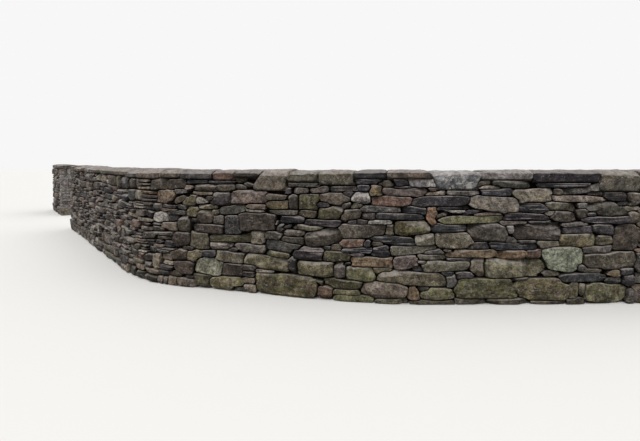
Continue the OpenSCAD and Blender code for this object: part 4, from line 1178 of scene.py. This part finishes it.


# Weathered stone: each stone's tint, mottled by noise, layered where it is slate, with lichen and moss in
# patches, paler where it faces up from dust and painted sky light, darker in cracks and joints from painted
# shade, and rough at three scales.
def stoneSkin(name, look, top=0.0):
    material, nodes, skin = newMaterial(name)

    def attribute(label):
        node = nodes.new("ShaderNodeAttribute")
        node.attribute_name = label
        return node.outputs

    grain, kinds = attribute("stoneGrain")["Vector"], attribute("stoneKind")
    lichenShare, mossShare, layered = feed(nodes.new("ShaderNodeSeparateColor"), {0: kinds["Color"]})
    normal = nodes.new("ShaderNodeNewGeometry").outputs["Normal"]
    up = feed(nodes.new("ShaderNodeSeparateXYZ"), {0: normal})["Z"]

    cloudy = noise(grain, 7.0, 5.0, 0.6, 0.4)
    patchy = noise(grain, 24.0, 6.0, 0.66, 0.3)
    gritty = noise(grain, 62.0, 5.0, 0.7, 0.2)
    specks = noise(grain, 150.0, 3.0, 0.7)
    seams = noise(stretched(grain, (5.0, 5.0, 95.0)), 1.0, 3.0, 0.5, 0.2)
    spots = noise(stretched(grain, (1.0, 1.0, 1.3)), 34.0, 6.0, 0.7, 0.6)
    broken = noise(stretched(grain, (1.0, 0.6, 1.7)), 4.5, 4.0, 0.5, 0.1)
    broken = ramp(math("ABSOLUTE", math("SUBTRACT", broken, 0.5)), 0.0, 0.009, 1.0, 0.0)
    cracks = math("MULTIPLY", broken, ramp(noise(grain, 5.2, 2.0), 0.48, 0.6), True)
    flakes = math("SNAP", noise(stretched(grain, (1.0, 1.0, 1.5)), 7.0, 5.0, 0.55, 0.2), 0.045)

    # The stone's own colour: three scales of mottling, warm and cool patches, layers and specks
    colour = attribute("stoneTint")["Color"]
    even = look["mottle"]
    level = math("MULTIPLY", ramp(cloudy, 0.34, 0.66, 1 - even * 0.75, 1 + even * 0.75),
                 ramp(patchy, 0.36, 0.64, 1 - even * 0.85, 1 + even * 0.95))
    level = math("MULTIPLY", level, ramp(gritty, 0.36, 0.64, 1 - even * 0.65, 1 + even * 0.75))
    colour = mix("MULTIPLY", 1.0, colour, grey(level))
    for scale, share, cast in ((4.3, 0.5, (1.14, 1.0, 0.82, 1)), (5.9, 0.6, (0.90, 0.95, 1.02, 1))):
        colour = mix("MIX", ramp(noise(grain, scale, 3.0), 0.5, 0.7, 0.0, share), colour,
                     mix("MULTIPLY", 1.0, colour, cast))
    colour = mix("MULTIPLY", math("MULTIPLY", layered, 0.9), colour, grey(ramp(seams, 0.35, 0.62, 0.55, 1.3)))
    colour = mix("MULTIPLY", 1.0, colour, grey(ramp(specks, 0.3, 0.7, 1 - look["speck"], 1 + look["speck"])))

    # Moss, grey lichen, pale spots and the large blotches of the stones with the most lichen
    green = ramp(noise(grain, 13.0, 7.0, 0.72, 0.3), 0.45, 0.57)
    green = math("MULTIPLY", math("MULTIPLY", green, ramp(up, -0.2, 0.8, 0.5, 0.95)), mossShare, True)
    colour = mix("MIX", green, colour, mix("MULTIPLY", 1.0, grey(level), (*look["moss"], 1)))
    crust = math("MULTIPLY", ramp(spots, 0.54, 0.60), ramp(cloudy, 0.42, 0.58))
    crust = math("MULTIPLY", crust, math("MULTIPLY", lichenShare, 0.85), True)
    colour = mix("MIX", crust, colour, (*look["lichen"], 1))
    rare = math("MULTIPLY", ramp(noise(grain, 30.0, 6.0, 0.74, 0.8), 0.585, 0.65),
                ramp(lichenShare, 0.1, 0.6, 0.2, 0.75), True)
    blotch = math("MULTIPLY", ramp(noise(grain, 12.0, 6.0, 0.72, 0.9), 0.54, 0.585), 0.85)
    rare = math("MAXIMUM", rare, math("MULTIPLY", blotch, ramp(lichenShare, 0.86, 1.0)))
    colour = mix("MIX", rare, colour, (*look["spots"], 1))

    # Pale dust and painted sky light on top, painted shade in the cracks and in the joints
    # Painted sky light with dust: surfaces that face up are mixed towards a pale colour
    pale = math("MULTIPLY", ramp(up, 0.3, 0.85, 0.0, top), ramp(patchy, 0.3, 0.6, 0.45, 1.0), True)
    colour = mix("MIX", pale, colour, (*look["dustAndSkyLight"], 1))
    # Painted shade in the cracks, which are also cut into the bump below
    colour = mix("MULTIPLY", math("MULTIPLY", cracks, 0.6), colour, (*look["cracks"], 1))
    # Painted shade: the deeper a point lies in its joint, the darker its colour is made
    colour = mix("MULTIPLY", 1.0, colour, grey(ramp(kinds["Alpha"], 0.0, 1.0, 1.0, 1 - look["shade"])))

    height = math("ADD", math("MULTIPLY", patchy, 0.021), math("MULTIPLY", specks, 0.003))
    height = math("ADD", height, math("MULTIPLY", gritty, 0.015))
    height = math("ADD", height, math("MULTIPLY", math("MULTIPLY", layered, seams), 0.008))
    height = math("SUBTRACT", height, math("MULTIPLY", cracks, 0.005))
    height = math("ADD", height, math("MULTIPLY", flakes, look["flake"]))
    bump = feed(nodes.new("ShaderNodeBump"), {"Strength": look["bump"], "Distance": 1.0, "Height": height})
    feed(skin, {"Base Color": colour, "Roughness": ramp(patchy, 0.3, 0.7, 0.78, 0.97),
                "Specular IOR Level": look["gloss"], "Normal": bump["Normal"]})
    return material


# Packed rubble for the core: cells of dull stone colours with dark edges, on Object coordinates.
def rubbleSkin(name):
    material, nodes, skin = newMaterial(name)
    where = nodes.new("ShaderNodeTexCoord").outputs["Object"]
    cells, edges = [nodes.new("ShaderNodeTexVoronoi") for _ in range(2)]
    edges.feature = "DISTANCE_TO_EDGE"
    cell = feed(cells, {"Vector": where, "Scale": rubbleLook["scale"]})["Color"]
    edge = feed(edges, {"Vector": where, "Scale": rubbleLook["scale"]})["Distance"]
    tone, rim, bump = [nodes.new("ShaderNode" + kind) for kind in ("ValToRGB", "MapRange", "Bump")]
    for stop, colour in zip(tone.color_ramp.elements, rubbleLook["tones"]):
        stop.color = (*toLinear(colour), 1)
    colour = feed(tone, {"Fac": feed(nodes.new("ShaderNodeSeparateColor"), {0: cell})[0]})["Color"]
    wide, light = rubbleLook["rim"]
    dark = feed(rim, {"Value": edge, "From Max": wide, "To Min": light})["Result"]
    feed(skin, {"Base Color": mix("MULTIPLY", 1.0, colour, dark), "Roughness": 0.95,
                "Normal": feed(bump, {"Distance": rubbleLook["bump"], "Height": edge})["Normal"]})
    return material


# The last number is how far the tops are paled by dust and painted sky light
skins = {
    "face_stone": stoneSkin("faceStone", stoneLook, 0.6),
    "foundation_stone": stoneSkin("foundationStone", {**stoneLook, "moss": (0.120, 0.118, 0.045)}, 0.3),
    "back_stone": stoneSkin("backStone", stoneLook, 0.5),
    "coping_stone": stoneSkin("copingStone", {**stoneLook, "mottle": 0.5, "flake": 0.07}, 0.5),
    "quoin_stone": stoneSkin("cornerStone", stoneLook, 0.35),
}
rubble = rubbleSkin("packedRubble")


# Makes one piece of the wall and hands it over in place of the named solids.
def place(name, groups, slot, *nodes):
    piece, faces = meshOfStones(name, [g for g in groups if len(g[0])])
    piece.data.materials.append(skins[slot])
    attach(piece, "root")
    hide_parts(*nodes)
    return faces


# The chosen stones of a group, as points, tint, grain, kinds and count.
def chosen(group, which):
    return (*[w[which] for w in group[1:5]], group[5])


# The stones of each bay make one piece to a layer. A capstone belongs to the bay that it starts in.
total = 0
for (bay, length, _), (lo, *_) in zip(wallPlan["bays"], bayRows):
    if bay == "opening":
        continue
    hi = lo + length
    inBay = lambda c: (c["cs"] >= lo) & (c["cs"] < hi)
    isLow = lambda c: c["cz"] < wallPlan["blockTop"]
    upper, behind = [[chosen(g, inBay(g[0]) & ~isLow(g[0])) for g in groups]
                     for groups in (frontGroups, backGroups)]
    lower = [chosen(g, inBay(g[0]) & isLow(g[0])) for g in frontGroups + backGroups]
    lower += [packingOf(lo, hi, *packing["foot"])]
    above = (capStart >= lo - 0.003) & (capStart < hi - 0.003)
    crown = [(*[w[above] for w in caps[:4]], caps[4])]
    crown += [packingOf(s - packing["joint"], s + packing["joint"], *packing["jointLevels"])
              for s in leaningJoints if lo <= s < hi]
    total += place(bay + "_front_stones", upper, "face_stone", bay + "_front_face")
    total += place(bay + "_back_stones", behind, "back_stone", bay + "_back_face")
    total += place(bay + "_footing_stones", lower, "foundation_stone", bay + "_footing")
    total += place(bay + "_capstones", crown, "coping_stone", bay + "_coping")
    bpy.data.objects[bay + "_hearting"].data.materials.clear()
    bpy.data.objects[bay + "_hearting"].data.materials.append(rubble)
    print(bay, "laid")
for name, stones in corners.items():
    total += place(name.replace("quoins", "corner_stones"), [stones], "quoin_stone", name)
print("faces in all:", total)

setting = {
    "eye": (-2.987, -5.837, 1.58),   # standing height in front of the wall
    "down": 6.59,
    "turn": -0.9,
    "lens": 28.97,
    "floorSize": 90.0,       # from its middle to each side
    "floor": (0.80, 0.785, 0.76),
    "floorBounce": (0.13, 0.13, 0.11),   # what the floor throws back up at the wall
    "sky": (0.30, 1.02),     # light from the horizon and from overhead
    "skyTone": (0.97, 0.985, 1.0),
    "backdrop": (0.93, 0.93, 0.93),
    "sun": 1.55,
    "sunTone": (1.0, 0.985, 0.96),
    "sunTurn": (43, -24),
    "sunSoft": 28,           # degrees that the sun spans, for soft shadows
}
ground = bpy.data.meshes.new("floor")
size = setting["floorSize"]
ground.from_pydata([(x * size, y * size, -0.002) for x, y in ((-1, -1), (1, -1), (1, 1), (-1, 1))], [],
                   [(0, 1, 2, 3)])
floor = linked("floor", ground)
pale, nodes, skin = newMaterial("paleFloor")
seen = nodes.new("ShaderNodeLightPath").outputs["Is Camera Ray"]
feed(skin, {"Base Color": mix("MIX", seen, (*setting["floorBounce"], 1), (*setting["floor"], 1)),
            "Roughness": 0.9})
ground.materials.append(pale)

camera = bpy.data.cameras.new("camera")
camera.lens, camera.sensor_width, camera.sensor_fit = setting["lens"], 36.0, "HORIZONTAL"
view = linked("camera", camera)
view.location = setting["eye"]
view.rotation_euler = (radians(90 - setting["down"]), 0, radians(setting["turn"]))
bpy.context.scene.camera = view

sun = bpy.data.lights.new("sun", "SUN")
sun.energy, sun.angle, sun.color = setting["sun"], radians(setting["sunSoft"]), setting["sunTone"]
lamp = linked("sun", sun)
lamp.rotation_euler = (*[radians(turn) for turn in setting["sunTurn"]], 0)

# A soft sky lights the wall, and the camera and mirroring surfaces see the plain backdrop
world = bpy.data.worlds.new("softSky")
bpy.context.scene.world = world
world.use_nodes = True
air = world.node_tree.nodes
direction = air.new("ShaderNodeTexCoord").outputs["Generated"]
upward = feed(air.new("ShaderNodeSeparateXYZ"), {0: direction})["Z"]
light = ramp(upward, 0.0, 0.85, *setting["sky"])
sky = feed(air["Background"], {"Color": (*setting["skyTone"], 1), "Strength": light})
backdrop = feed(air.new("ShaderNodeBackground"), {"Color": (*setting["backdrop"], 1)})
ray = air.new("ShaderNodeLightPath").outputs
seen = math("MAXIMUM", ray["Is Camera Ray"], ray["Is Glossy Ray"])
seen = math("MAXIMUM", seen, ray["Is Transmission Ray"])
blend = feed(air.new("ShaderNodeMixShader"), {"Fac": seen, 1: sky[0], 2: backdrop[0]})
feed(air["World Output"], {"Surface": blend[0]})
bpy.context.scene.view_settings.view_transform = "Standard"
